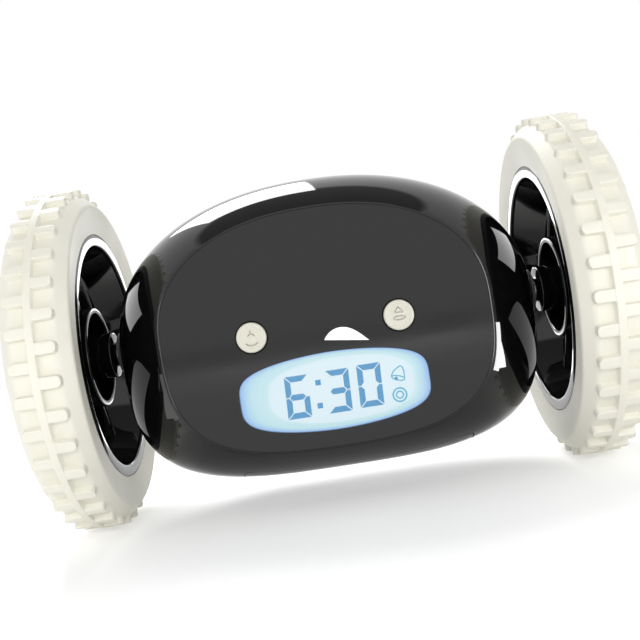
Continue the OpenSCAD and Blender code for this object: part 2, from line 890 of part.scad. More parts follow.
module hub() {
    dish_r = rim_r - flange_w;
    floor_r = dish_r - 2.2;
    translate([0, 0, axle_z]) rotate([90, 0, 90]) difference() {
        union() {
            rotate_extrude() polygon([[axle_r, boss_in], [boss_r, boss_in], [boss_r, dish_s],
                [floor_r, dish_s], [dish_r, flange_s + 1], [dish_r, flange_s],
                [rim_r, flange_s], [rim_r, rim_out], [rim_r - flange_w, rim_out],
                [rim_r - flange_w - 1, hub_out], [axle_r, hub_out]]);
            translate([0, 0, dish_s - spoke_h]) linear_extrude(spoke_h + rib_root) {
                for (i = [0:spoke_count - 1]) rotate(90 + i * 360 / spoke_count) {
                    translate([boss_r - 0.5, -spoke_w / 2]) {
                        square([floor_r - boss_r + 1, spoke_w]);
                    }
                }
            }
            translate([0, 0, dish_s - ring_rib_h]) difference() {
                cylinder(h = ring_rib_h + rib_root, r = ring_rib_r + ring_rib_t / 2);
                translate([0, 0, -1]) {
                    cylinder(h = ring_rib_h + 2, r = ring_rib_r - ring_rib_t / 2);
                }
            }
        }
        translate([0, 0, boss_in - 1]) cylinder(h = hub_out + 2 - boss_in, r = axle_r + seat);
    }
}

module hubcap() {
    translate([0, 0, axle_z]) rotate([90, 0, 90]) rotate_extrude() {
        polygon([[0, hub_out + axle_head_h + 0.3], [axle_head_r + 1, hub_out + axle_head_h + 0.3],
            [axle_head_r + 2, hub_out], [hubcap_r, hub_out], [hubcap_r, hub_out + 0.5],
            [hubcap_r - 2, hub_out + hubcap_t], [axle_head_r, hub_out + axle_head_h + hubcap_t],
            [0, hub_out + axle_head_h + hubcap_t]]);
    }
}

module axle() {
    difference() {
        rod_x(axle_in, hub_out - 0.1, axle_r);
        rod_x(hub_out - axle_screw_len - 0.6, hub_out + 1, axle_screw_r + play);
    }
}

module axle_screw() {
    rod_x(hub_out - axle_screw_len, hub_out, axle_screw_r);
    rod_x(hub_out, hub_out + axle_head_h, axle_head_r);
}

module axle_bush() {
    difference() {
        union() {
            rod_x(bush_in, bush_out, bush_r);
            rod_x(bush_out, bush_out + bush_flange_t, bush_flange_r);
        }
        rod_x(bush_in - 1, bush_out + 2, axle_r + play);
    }
}

// ---- Gear train ----

function involute(a) = tan(a) * 180 / PI - a;

// Half-angle of a tooth at radius r
function tooth_half(r, teeth) = let (
        base = gear_mod * teeth / 2 * cos(pressure))
    90 / teeth * (1 - tooth_play) + involute(pressure) - involute(acos(min(1, base / r)));

module gear(teeth, w, bore) {
    pitch = gear_mod * teeth / 2;
    root = pitch - gear_mod * tooth_root;
    tip = pitch + gear_mod * tooth_tip;
    rs = [root, (root + pitch) / 2, pitch, (pitch + tip) / 2, tip];
    n = len(rs);
    difference() {
        linear_extrude(w) polygon([for (i = [0:teeth - 1]) for (k = [0:2 * n - 1])
            let (r = k < n ? rs[k] : rs[2 * n - 1 - k],
                at = i * 360 / teeth + (k < n ? -1 : 1) * tooth_half(r, teeth))
                [r * cos(at), r * sin(at)]]);
        translate([0, 0, -1]) cylinder(h = w + 2, r = bore);
    }
}

// A gear at a station on an axis beside the axle
module at_gear(s, y, z, turn) {
    translate([s, y, axle_z + z]) rotate([90, 0, 90]) rotate(turn) children();
}

module output_gear() {
    at_gear(stage2_s, 0, 0, idler_at) gear(output_teeth, gear_w, axle_r + seat);
}

module idler_gear() {
    at_gear(stage1_s, idler_y, idler_z, motor_at) gear(idler_teeth, gear_w, pin_r + play);
    at_gear(stage1_s + gear_w, idler_y, idler_z, idler_at + 180 + 180 / idler_pinion_teeth) {
        gear(idler_pinion_teeth, gear_w + stage_gap + 0.2, pin_r + play);
    }
}

module idler_pin() {
    rod_x(gearbox_s, gearbox_out + plate_t, pin_r, idler_y, idler_z);
}

module motor_pinion() {
    at_gear(stage1_s - 0.2, motor_y, motor_z, motor_at + 180 + 180 / motor_teeth) {
        gear(motor_teeth, gear_w + 0.4, shaft_r + seat);
    }
}

module motor_shaft() {
    rod_x(shaft_in, shaft_out, shaft_r, motor_y, motor_z);
}

module motor() {
    difference() {
        union() {
            rod_x(gearbox_s - motor_len, gearbox_s, motor_r, motor_y, motor_z);
            rod_x(gearbox_s, gearbox_s + motor_boss_t, motor_boss_r, motor_y, motor_z);
            rod_x(gearbox_s - motor_len - 1, gearbox_s - motor_len, motor_boss_r,
                motor_y, motor_z);
        }
        rod_x(shaft_in - 0.5, gearbox_s + 2, shaft_r + play, motor_y, motor_z);
    }
}

function pillar(i) = [pillar_d * cos(pillar_at[i]), pillar_d * sin(pillar_at[i])];

module plate_shape(holds_motor) {
    a = pillar(0);
    b = pillar(1);
    top = holds_motor ? motor_z + motor_r + 0.6 : idler_z + 3;
    left = holds_motor ? motor_y - motor_r - 0.6 : motor_y - 3;
    polygon([[a[0] - pillar_r, a[1] - pillar_r], [b[0] - pillar_r, b[1] - pillar_r],
        [b[0] + pillar_r, b[1] - pillar_r], [block_y + block_w, block_z - block_h / 2],
        [block_y + block_w, block_z + block_h / 2], [idler_y + 3.4, idler_z + 3],
        [motor_y + 6, top], [left + 3, top], [a[0] - pillar_r, a[1] + pillar_r + 2]]);
}

module gearbox_frame() {
    difference() {
        union() {
            slab_x(gearbox_s, gearbox_s + plate_t) plate_shape(true);
            slab_x(gearbox_out, gearbox_out + plate_t) plate_shape(false);
            for (i = [0, 1]) {
                rod_x(gearbox_s + plate_t / 2, gearbox_out + plate_t / 2, pillar_r,
                    pillar(i)[0], pillar(i)[1]);
            }
            box(gearbox_s + plate_t / 2, gearbox_out + plate_t / 2, block_y,
                block_y + block_w, block_z - block_h / 2, block_z + block_h / 2);
            rod_x(gearbox_out + plate_t / 2, bush_in - 0.3, nose_r);
        }
        rod_x(gearbox_s - 1, bush_in + 1, axle_r + play);
        rod_x(gearbox_s - 1, gearbox_out + plate_t + 1, pin_r + seat, idler_y, idler_z);
        rod_x(gearbox_s - 1, gearbox_s + plate_t + 1, motor_boss_r + 0.1, motor_y, motor_z);
        rod_y(block_s, block_z, block_y - 5, block_y + block_w + 1, screw_r + 0.15);
    }
}

module gearbox_screws() color([0.7, 0.7, 0.72]) {
    for (side = [-1, 1]) {
        rod_y(side * block_s, block_z, block_y, frame_screw_y + 4, screw_r);
        rod_y(side * block_s, block_z, block_y - screw_head_h, block_y, 1.8);
    }
}

module left_tyre() color([0.93, 0.92, 0.86]) on_left() tyre();
module left_hub() color([0.05, 0.05, 0.055]) on_left() hub();
module left_hubcap() color([0.1, 0.1, 0.11]) on_left() hubcap();
module left_axle() color([0.75, 0.75, 0.77]) on_left() axle();
module left_axle_screw() color([0.7, 0.7, 0.72]) on_left() axle_screw();
module left_axle_bush() color([0.08, 0.08, 0.085]) on_left() axle_bush();
module left_output_gear() color([0.92, 0.92, 0.9]) on_left() output_gear();
module left_idler_gear() color([0.85, 0.85, 0.8]) on_left() idler_gear();
module left_idler_pin() color([0.7, 0.7, 0.72]) on_left() idler_pin();
module left_motor() color([0.72, 0.72, 0.74]) on_left() motor();
module left_motor_shaft() color([0.8, 0.8, 0.8]) on_left() motor_shaft();
module left_motor_pinion() color([0.8, 0.65, 0.3]) on_left() motor_pinion();
module left_gearbox_frame() color([0.4, 0.45, 0.5]) on_left() gearbox_frame();
module right_tyre() color([0.93, 0.92, 0.86]) tyre();
module right_hub() color([0.05, 0.05, 0.055]) hub();
module right_hubcap() color([0.1, 0.1, 0.11]) hubcap();
module right_axle() color([0.75, 0.75, 0.77]) axle();
module right_axle_screw() color([0.7, 0.7, 0.72]) axle_screw();
module right_axle_bush() color([0.08, 0.08, 0.085]) axle_bush();
module right_output_gear() color([0.92, 0.92, 0.9]) output_gear();
module right_idler_gear() color([0.85, 0.85, 0.8]) idler_gear();
module right_idler_pin() color([0.7, 0.7, 0.72]) idler_pin();
module right_motor() color([0.72, 0.72, 0.74]) motor();
module right_motor_shaft() color([0.8, 0.8, 0.8]) motor_shaft();
module right_motor_pinion() color([0.8, 0.65, 0.3]) motor_pinion();
module right_gearbox_frame() color([0.4, 0.45, 0.5]) gearbox_frame();

front_shell();
rear_shell();
face_panel();
lcd_window();
lcd_panel();
backlight();
lcd_frame();
indicator_lens();
main_board();
board_screws();
left_eye_button();
right_eye_button();
eye_switches();
snooze_button();
snooze_board();
snooze_switch();
rear_board();
rear_switches();
hour_button();
minute_button();
delay_button();
wheel_switch_knob();
wheel_switch_body();
speaker();
battery_tray();
battery_cells();
battery_contacts();
battery_door();
battery_door_screw();
shell_screws();
gearbox_screws();
left_tyre();
left_hub();
left_hubcap();
left_axle();
left_axle_screw();
left_axle_bush();
left_output_gear();
left_idler_gear();
left_idler_pin();
left_motor();
left_motor_shaft();
left_motor_pinion();
left_gearbox_frame();
right_tyre();
right_hub();
right_hubcap();
right_axle();
right_axle_screw();
right_axle_bush();
right_output_gear();
right_idler_gear();
right_idler_pin();
right_motor();
right_motor_shaft();
right_motor_pinion();
right_gearbox_frame();
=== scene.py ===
"""Dresses the runaway alarm clock: casing, face, display, buttons and treaded wheels.

Pieces are modelled in millimetres about the axle's middle and settled into the frame in metres.
+X runs along the axle, the face looks towards -Y and +Z is up.
"""
import json
import math

import bmesh
import bpy
import numpy as np
from mathutils import Matrix, Vector


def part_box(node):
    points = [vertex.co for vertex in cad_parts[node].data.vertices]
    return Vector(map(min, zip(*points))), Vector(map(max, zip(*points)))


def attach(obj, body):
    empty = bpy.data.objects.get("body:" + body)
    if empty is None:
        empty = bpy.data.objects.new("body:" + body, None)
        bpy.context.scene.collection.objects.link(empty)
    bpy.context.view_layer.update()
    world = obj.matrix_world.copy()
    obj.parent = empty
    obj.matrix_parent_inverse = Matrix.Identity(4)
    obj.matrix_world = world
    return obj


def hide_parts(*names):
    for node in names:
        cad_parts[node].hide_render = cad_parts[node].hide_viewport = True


MM = 0.001
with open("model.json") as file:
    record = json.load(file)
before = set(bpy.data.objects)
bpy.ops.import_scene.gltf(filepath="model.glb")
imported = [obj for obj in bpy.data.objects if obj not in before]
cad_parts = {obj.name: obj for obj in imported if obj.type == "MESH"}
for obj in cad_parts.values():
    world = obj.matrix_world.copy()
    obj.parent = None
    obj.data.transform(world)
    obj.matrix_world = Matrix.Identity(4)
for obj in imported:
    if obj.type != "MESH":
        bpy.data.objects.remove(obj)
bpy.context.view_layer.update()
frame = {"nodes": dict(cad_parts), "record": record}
AXLE_Z = sum(corner.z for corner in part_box("right_tyre")) / 2


def limits(node):
    """Lowest and highest corner of a CAD node in mm, measured from the axle's middle."""
    lift = Vector((0, 0, AXLE_Z))
    low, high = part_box(node)
    return (low - lift) / MM, (high - lift) / MM


def centre_of(node):
    low, high = limits(node)
    return (low + high) / 2


# ---- Sizes, from the frame where it has them; _IN, _OUT and _S are stations along the axle ----

FACE_Y = -limits("face_panel")[0].y
REAR_Y = limits("rear_shell")[1].y
BODY_A = limits("rear_shell")[1].x
BODY_TOP = limits("front_shell")[1].z
FLAT_BOTTOM = -limits("rear_shell")[0].z
BODY_BOTTOM = FLAT_BOTTOM + 0.5
BODY_DEPTH = 35.6
WALL = 2.0
GAP = 0.3
# Exponents of the body's rounded outlines: upper, lower, from above, and round its section
TOP_N, BOTTOM_N, PLAN_N = 2.18, 3.5, 2.37
SIDE_TOP_N, SIDE_BOTTOM_N = 2.41, 2.82
COLUMNS = 256
ROW_STEP = 0.5

TYRE_R = limits("right_tyre")[1].z
TYRE_IN = limits("right_tyre")[0].x
TYRE_OUT = limits("right_tyre")[1].x
LUG_COUNT = 36
LUG_W = 2.85
RIB_W = 1.8
RIB_PROUD = 0.1
TREAD_DEPTH = 1.7
SHOULDER_W = 2.5
LUG_ROUND = 1.1
RIM_R = limits("right_hub")[1].z
HUB_IN = limits("right_hub")[0].x
HUB_OUT = TYRE_IN + 13.5
DISH_S = HUB_OUT - 2.0
FLANGE_S = TYRE_IN + 1.0
RIM_OUT = limits("right_hub")[1].x
CAP_OUT = limits("right_hubcap")[1].x
CAP_R = limits("right_hubcap")[1].z

WINDOW_Z = (limits("lcd_window")[0].z + limits("lcd_window")[1].z) / 2
WINDOW_A = limits("lcd_window")[1].x
WINDOW_B = limits("lcd_window")[1].z - WINDOW_Z
WINDOW_NX, WINDOW_NZ = 1.78, 3.84
LCD_FRONT = -limits("lcd_panel")[0].y
# The light's brightest place lies a little right of the window's middle
GLOW_SHIFT = 1.6


# ---- Hands-on modelling ----

def deselect():
    bpy.ops.object.select_all(action="DESELECT")


def activate(piece):
    deselect()
    piece.select_set(True)
    bpy.context.view_layer.objects.active = piece


def christen(name):
    piece = bpy.context.object
    piece.name = name
    piece.data.name = name
    return piece


def clean_up(piece, merge=0.0005):
    """Merges doubles and turns every face outwards."""
    activate(piece)
    bpy.ops.object.mode_set(mode="EDIT")
    bpy.ops.mesh.select_all(action="SELECT")
    bpy.ops.mesh.remove_doubles(threshold=merge)
    bpy.ops.mesh.normals_make_consistent(inside=False)
    bpy.ops.object.mode_set(mode="OBJECT")


def loft(name, loops, ring=False):
    """Extrudes a circle's edge from loop to loop, then caps both ends or bridges them to a ring."""
    deselect()
    bpy.ops.mesh.primitive_circle_add(vertices=len(loops[0]))
    piece = christen(name)
    bpy.ops.object.mode_set(mode="EDIT")
    bpy.ops.mesh.select_mode(type="EDGE")
    bpy.ops.mesh.select_all(action="SELECT")
    mesh = bmesh.from_edit_mesh(piece.data)
    column = mesh.verts.layers.int.new("column")
    row = mesh.verts.layers.int.new("row")
    for i, vert in enumerate(mesh.verts):
        vert[column] = i
        vert.co = loops[0][i]
    for k, loop in enumerate(loops[1:], 1):
        bpy.ops.mesh.extrude_region_move()
        mesh = bmesh.from_edit_mesh(piece.data)
        column = mesh.verts.layers.int["column"]
        row = mesh.verts.layers.int["row"]
        for vert in mesh.verts:
            if vert.select:
                vert[row] = k
                vert.co = loop[vert[column]]
    ends = [0, len(loops) - 1]
    for group in ([ends] if ring else [[end] for end in ends]):
        bpy.ops.mesh.select_all(action="DESELECT")
        mesh = bmesh.from_edit_mesh(piece.data)
        row = mesh.verts.layers.int["row"]
        for edge in mesh.edges:
            rows = {vert[row] for vert in edge.verts}
            if len(rows) == 1 and rows <= set(group):
                edge.select_set(True)
        bmesh.update_edit_mesh(piece.data)
        if ring:
            bpy.ops.mesh.bridge_edge_loops()
        else:
            bpy.ops.mesh.edge_face_add()
    bpy.ops.object.mode_set(mode="OBJECT")
    clean_up(piece)
    for layer in ("column", "row"):
        piece.data.attributes.remove(piece.data.attributes[layer])
    return piece


def modify(piece, kind, **settings):
    """Adds a modifier to a piece and applies it."""
    activate(piece)
    step = piece.modifiers.new(kind.title(), kind)
    for label, value in settings.items():
        setattr(step, label, value)
    bpy.ops.object.modifier_apply(modifier=step.name)


def boolean(piece, cutter, operation="DIFFERENCE"):
    """Cuts or joins a piece with another one, which is used up."""
    modify(piece, "BOOLEAN", operation=operation, object=cutter, solver="MANIFOLD")
    bpy.data.objects.remove(cutter)
    return piece


def join(piece, *others):
    activate(piece)
    for other in others:
        other.select_set(True)
    bpy.ops.object.join()
    return piece


def block(name, low, high, width=0.0):
    """A box between two corners, with its edges rounded to a width."""
    deselect()
    middle = [(a + b) / 2 for a, b in zip(low, high)]
    size = [b - a for a, b in zip(low, high)]
    bpy.ops.mesh.primitive_cube_add(size=1, location=middle, scale=size)
    piece = christen(name)
    bpy.ops.object.transform_apply(location=True, rotation=True, scale=True)
    if width:
        modify(piece, "BEVEL", width=width, segments=3, limit_method="ANGLE",
               angle_limit=math.radians(40))
    return piece


def rounded(corners, steps=4, closed=False):
    """Replaces each corner (u, v, radius) of a path by an arc of that radius."""
    path = []
    last = len(corners) - 1
    for i, (u, v, radius) in enumerate(corners):
        here = Vector((u, v))
        if not radius or (not closed and i in (0, last)):
            path.append(here)
            continue
        before = Vector(corners[i - 1][:2]) - here
        after = Vector(corners[(i + 1) % len(corners)][:2]) - here
        half = before.angle(after) / 2
        reach = min(radius / math.tan(half), 0.48 * before.length, 0.48 * after.length)
        before.normalize()
        after.normalize()
        centre = here + (before + after).normalized() * (reach / math.cos(half))
        start = here + before * reach - centre
        end = here + after * reach - centre
        turn = math.pi - 2 * half
        for k in range(steps + 1):
            t = k / steps
            path.append(centre + (start * math.sin((1 - t) * turn) + end * math.sin(t * turn))
                        / math.sin(turn))
    return path


def turns(count):
    """Angles at even steps round a circle."""
    return [2 * math.pi * i / count for i in range(count)]


def turned(name, profile, count=128, ring=False, side=1):
    """Turns a profile of (station, radius) round the axle."""
    loops = [[(side * s, r * math.cos(a), r * math.sin(a)) for a in turns(count)]
             for s, r in profile]
    return loft(name, loops, ring)


def stood(name, outline, profile, place):
    """A piece with a level outline: each (inset, height) of its profile is one loop."""
    return loft(name, [[place(u, v, height) for u, v in outline(inset)]
                       for inset, height in profile])


def circle_outline(x, z, radius, count=72):
    return lambda inset: [(x + (radius - inset) * math.cos(a), z + (radius - inset) * math.sin(a))
                          for a in turns(count)]


def rect_outline(x0, x1, y0, y1, radius, steps=8, side_steps=10):
    """Rectangle with round corners, with points along its sides too."""
    def outline(inset):
        r = max(radius - inset, 0.05)
        xa, xb, ya, yb = x0 + inset + r, x1 - inset - r, y0 + inset + r, y1 - inset - r
        arcs = []
        for start, (cx, cy) in zip((0, 90, 180, 270), ((xb, yb), (xa, yb), (xa, ya), (xb, ya))):
            angles = [math.radians(start + 90 * k / steps) for k in range(steps + 1)]
            arcs.append([(cx + r * math.cos(a), cy + r * math.sin(a)) for a in angles])
        path = []
        for here, following in zip(arcs, arcs[1:] + arcs[:1]):
            (px, py), (nx, ny) = here[-1], following[0]
            path += here + [(px + (nx - px) * k / side_steps, py + (ny - py) * k / side_steps)
                            for k in range(1, side_steps)]
        return path
    return outline


def facing_front(u, v, height):
    """A point of the face: u across, v up, height towards the viewer from y = 0."""
    return (u, -height, v)


def facing_rear(u, v, height):
    return (u, height, v)


# ---- The body's form ----

def bulge(x, a, n):
    return max(0.0, 1 - (abs(x) / a) ** n) ** (1 / n)


def form_depth(x, t=0.0):
    return (BODY_DEPTH - t) * bulge(x, BODY_A - t, PLAN_N)


def form_height(x, up, t=0.0):
    """Height of the form's upper or lower outline over the axle at a station."""
    if up:
        return (BODY_TOP - t) * bulge(x, BODY_A - t, TOP_N)
    return (BODY_BOTTOM - t) * bulge(x, BODY_A - t, BOTTOM_N)


def section_height(x, y, up, t=0.0):
    """Height of the form above or below the axle over a point of the plan."""
    depth = form_depth(x, t)
    if depth <= abs(y):
        return 0.0
    return form_height(x, up, t) * bulge(y, depth, SIDE_TOP_N if up else SIDE_BOTTOM_N)


def section(y, t=0.0, inset=0.0, at=None):
    """Outline of the form cut across Y, drawn in by an inset and placed at a depth."""
    half = (BODY_A - t) * bulge(y, BODY_DEPTH - t, PLAN_N)
    points = []
    for a in turns(COLUMNS):
        x, up = half * math.cos(a), math.sin(a) > 0
        z = section_height(x, y, up, t) * (1 if up else -1)
        points.append((x, max(z, -FLAT_BOTTOM) if t == 0 else z))
    flat = np.array(points)
    if inset:
        along = np.roll(flat, -1, 0) - np.roll(flat, 1, 0)
        out = np.stack([along[:, 1], -along[:, 0]], 1)
        flat = flat - inset * out / np.linalg.norm(out, axis=1, keepdims=True)
    depth = y if at is None else at
    return [(x, depth, z) for x, z in flat]


def steepness(points):
    """Level of the body's form at points, and its unit normals by small differences."""
    def level(p):
        x, y, z = np.abs(p[:, 0]), np.abs(p[:, 1]), p[:, 2]
        up = z > 0

        def reach(most, n):
            return most * np.clip(1 - (x / BODY_A) ** n, 1e-9, None) ** (1 / n)
        height = np.where(up, reach(BODY_TOP, TOP_N), reach(BODY_BOTTOM, BOTTOM_N))
        n = np.where(up, SIDE_TOP_N, SIDE_BOTTOM_N)
        return (y / reach(BODY_DEPTH, PLAN_N)) ** n + (np.abs(z) / height) ** n - 1
    inside = points * 0.9999
    slope = np.stack([level(inside + d) - level(inside - d) for d in 0.001 * np.eye(3)], 1)
    return level(points), slope / np.linalg.norm(slope, axis=1, keepdims=True)


def smooth(piece, angle=35):
    activate(piece)
    bpy.ops.object.shade_smooth_by_angle(angle=math.radians(angle))
    return piece


def pulled(items, label, width=3, kind=float):
    """An attribute of a mesh's elements as an array."""
    values = np.zeros(len(items) * width, kind)
    items.foreach_get(label, values)
    return values.reshape(-1, width) if width > 1 else values


def smooth_on_form(piece, flats):
    """Smooth shading that follows the body's form, and stays flat on its flat faces."""
    smooth(piece)
    mesh = piece.data
    places = pulled(mesh.vertices, "co")[pulled(mesh.loops, "vertex_index", 1, int)]
    normals = pulled(mesh.corner_normals, "vector")
    sizes = pulled(mesh.polygons, "loop_total", 1, int)
    faces = np.repeat(pulled(mesh.polygons, "normal"), sizes, 0)
    level, slope = steepness(places)
    on_form = (np.abs(level) < 0.01) & ((faces * slope).sum(1) > 0.9)
    on_form &= places[:, 2] > -FLAT_BOTTOM + 0.01
    normals[on_form] = slope[on_form]
    for axis, value in flats:
        way = np.zeros(3)
        way[axis] = math.copysign(1, value)
        flat = (np.abs(places[:, axis] - value) < 0.002) & (faces @ way > 0.5)
        normals[flat] = way
    mesh.normals_split_custom_set(normals.tolist())
    return piece


# ---- Finishes ----

def feed(tree, node, inputs):
    """Gives each input a value, or a link where the value is another node's output."""
    for label, value in inputs.items():
        if isinstance(value, bpy.types.NodeSocket):
            tree.links.new(value, node.inputs[label])
        else:
            node.inputs[label].default_value = value


def add(tree, kind, inputs=None, **settings):
    """A new shader node with its settings and inputs."""
    node = tree.nodes.new("ShaderNode" + kind)
    for label, value in settings.items():
        setattr(node, label, value)
    feed(tree, node, inputs or {})
    return node


def socket_group(name, inputs, outputs):
    """A node group with named inputs and outputs, each of a kind, and its two end nodes."""
    group = bpy.data.node_groups.new(name, "ShaderNodeTree")
    for way, sockets in (("INPUT", inputs), ("OUTPUT", outputs)):
        for label, kind in sockets.items():
            group.interface.new_socket(label, in_out=way, socket_type="NodeSocket" + kind)
    return group, group.nodes.new("NodeGroupInput").outputs, group.nodes.new("NodeGroupOutput")


def coordinates(tree):
    return add(tree, "TexCoord").outputs["Object"]


def build_tone_group():
    """Slow drift of colour between two tones, as moulded plastic and rubber have."""
    group, given, result = socket_group(
        "Tone drift", {"Tone A": "Color", "Tone B": "Color", "Scale": "Float"},
        {"Color": "Color"})
    noise = add(group, "TexNoise", {"Vector": coordinates(group), "Scale": given["Scale"],
                                    "Detail": 4.0})
    mix = add(group, "Mix", {0: noise.outputs["Fac"], 6: given["Tone A"], 7: given["Tone B"]},
              data_type="RGBA")
    feed(group, result, {"Color": mix.outputs[2]})
    return group


def build_skin_group(name, stretch, spread=(0.0, 1.0), broad=None):
    """A skin's height for bump, from fine noise, and its roughness, from that or broader noise."""
    group, given, result = socket_group(
        name, {"Scale": "Float", "Smoothest": "Float", "Roughest": "Float"},
        {"Roughness": "Float", "Height": "Float"})
    where = coordinates(group)
    place = add(group, "Mapping", {"Vector": where, "Scale": stretch})
    fine = add(group, "TexNoise", {"Vector": place.outputs["Vector"], "Scale": given["Scale"],
                                   "Detail": 3.0})
    slow = add(group, "TexNoise", {"Vector": where, "Scale": broad}) if broad else fine
    rough = add(group, "MapRange", {
        "Value": slow.outputs["Fac"], "From Min": spread[0], "From Max": spread[1],
        "To Min": given["Smoothest"], "To Max": given["Roughest"]})
    feed(group, result, {"Roughness": rough.outputs["Result"], "Height": fine.outputs["Fac"]})
    return group


TONE = build_tone_group()
GRAIN = build_skin_group("Moulded grain", (1.0, 1.0, 1.0), (0.3, 0.7), broad=45.0)
# Turned and rolled metal has fine lines along the axle
BRUSH = build_skin_group("Drawn lines", (0.08, 1.0, 1.0))
RELIEF_DEPTH = 0.00005


def new_material(name):
    material = bpy.data.materials.new(name)
    material.use_nodes = True
    return material, material.node_tree


def feed_shader(tree, inputs):
    feed(tree, tree.nodes["Principled BSDF"], inputs)


def drifting(tree, tone_a, tone_b, scale):
    """A colour that drifts between two tones."""
    return add(tree, "Group", {"Tone A": (*tone_a, 1), "Tone B": (*tone_b, 1), "Scale": scale},
               node_tree=TONE).outputs["Color"]


def finish(name, tone_a, tone_b, roughness, relief=0.0, scale=900.0, drift=60.0, skin=GRAIN,
           **sockets):
    """A material of two drifting tones over a grained or drawn skin."""
    material, tree = new_material(name)
    grain = add(tree, "Group", {"Scale": scale, "Smoothest": roughness[0],
                                "Roughest": roughness[1]}, node_tree=skin)
    feed_shader(tree, {"Base Color": drifting(tree, tone_a, tone_b, drift),
                       "Roughness": grain.outputs["Roughness"]})
    if relief:
        bump = add(tree, "Bump", {"Strength": relief, "Distance": RELIEF_DEPTH,
                                  "Height": grain.outputs["Height"]})
        feed_shader(tree, {"Normal": bump.outputs["Normal"]})
    feed_shader(tree, {label.replace("_", " "): value for label, value in sockets.items()})
    return material


def grey(value):
    return (value, value, value)


METAL = dict(skin=BRUSH, Metallic=1.0)


def build_finishes():
    """One finish for each material slot of the record."""
    black = dict(tone_a=(0.0035, 0.0035, 0.004), tone_b=(0.0025, 0.0025, 0.003))
    return {
        "shell_black": finish("Gloss black casing", roughness=(0.02, 0.05), relief=0.02,
                              scale=350, **black),
        "face_grey": finish("Face panel black", roughness=(0.05, 0.09), relief=0.03,
                            scale=700, **black),
        "hub_black": finish("Gloss black hub", roughness=(0.04, 0.08), relief=0.02,
                            scale=400, **black),
        "tyre_cream": finish("Cream tyre rubber", (0.80, 0.785, 0.69), (0.76, 0.745, 0.65),
                             (0.42, 0.55), relief=0.12, scale=1600, drift=90),
        "button_cream": finish("Cream button", (0.68, 0.665, 0.565), (0.64, 0.625, 0.53),
                               (0.3, 0.42), relief=0.08, scale=1500),
        "window_clear": finish("Clear display window", (0.45, 0.5, 0.55), (0.4, 0.46, 0.5),
                               (0.02, 0.04), Alpha=0.08),
        # The half moon's emission is a painted glow: it shines white with no lamp behind it
        "lens_white": finish("White half moon with painted glow", (0.9, 0.9, 0.9), (0.86, 0.86, 0.86),
                             (0.15, 0.2), Emission_Color=(1, 1, 1, 1), Emission_Strength=0.35),
        "backlight_white": finish("Backlight sheet", (0.8, 0.92, 1.0), (0.75, 0.9, 1.0),
                                  (0.3, 0.4)),
        "holder_white": finish("Holder", grey(0.75), grey(0.7), (0.45, 0.6), relief=0.1),
        "board_green": finish("Circuit board", (0.02, 0.16, 0.06), (0.015, 0.12, 0.05),
                              (0.25, 0.4), relief=0.1, drift=400),
        "switch_dark": finish("Switch body", grey(0.05), grey(0.04), (0.35, 0.5), relief=0.1),
        "tray_dark": finish("Battery tray", grey(0.03), grey(0.022), (0.4, 0.6), relief=0.2),
        "steel": finish("Steel", grey(0.62), grey(0.52), (0.18, 0.34), relief=0.05,
                        scale=1500, **METAL),
        "motor_can": finish("Motor can", grey(0.55), grey(0.48), (0.25, 0.42), relief=0.05,
                            scale=1200, **METAL),
        "brass": finish("Brass pinion", (0.72, 0.5, 0.2), (0.62, 0.42, 0.16), (0.2, 0.35),
                        scale=1500, **METAL),
        "gear_white": finish("White gear", (0.8, 0.79, 0.74), (0.75, 0.74, 0.69), (0.35, 0.5),
                             relief=0.1),
        "frame_grey": finish("Gearbox frame", (0.16, 0.19, 0.22), (0.13, 0.15, 0.18),
                             (0.4, 0.55), relief=0.2),
        "cell_wrap": finish("Cell wrap", (0.12, 0.24, 0.2), (0.1, 0.2, 0.17), (0.2, 0.35),
                            Metallic=0.4),
        "speaker_dark": finish("Speaker cone", grey(0.035), grey(0.025), (0.5, 0.7),
                               relief=0.3, scale=2500),
    }


def ramp(tree, place, stops):
    """The colour at a place of a ramp whose stops are each a place and a colour."""
    node = add(tree, "ValToRGB", {"Fac": place})
    elements = node.color_ramp.elements
    while len(elements) < len(stops):
        elements.new(1.0)
    for element, (position, color) in zip(elements, stops):
        element.position = position
        element.color = (*color, 1)
    return node.outputs["Color"]


def by_ray(tree, kind, otherwise, value):
    """A value for rays of one kind, and another for all others."""
    return add(tree, "MapRange", {
        "Value": add(tree, "LightPath").outputs[kind], "To Min": otherwise,
        "To Max": value}).outputs["Result"]


def oval_reach(tree, shift, exponents):
    """How far a point of the display lies from a middle: 1 on an oval as large as the window."""
    centre = add(tree, "Mapping", {
        "Vector": coordinates(tree), "Scale": (1 / (WINDOW_A * MM), 0, 1 / (WINDOW_B * MM)),
        "Location": (-shift / WINDOW_A, 0, -(AXLE_Z + WINDOW_Z * MM) / (WINDOW_B * MM))})
    parts = add(tree, "SeparateXYZ", {"Vector": centre.outputs["Vector"]})
    powers = {}
    for k, axis in enumerate("XZ"):
        size = add(tree, "Math", {0: parts.outputs[axis]}, operation="ABSOLUTE").outputs[0]
        powers[k] = add(tree, "Math", {0: size, 1: exponents[k]}, operation="POWER").outputs[0]
    return add(tree, "Math", powers, operation="ADD").outputs[0]


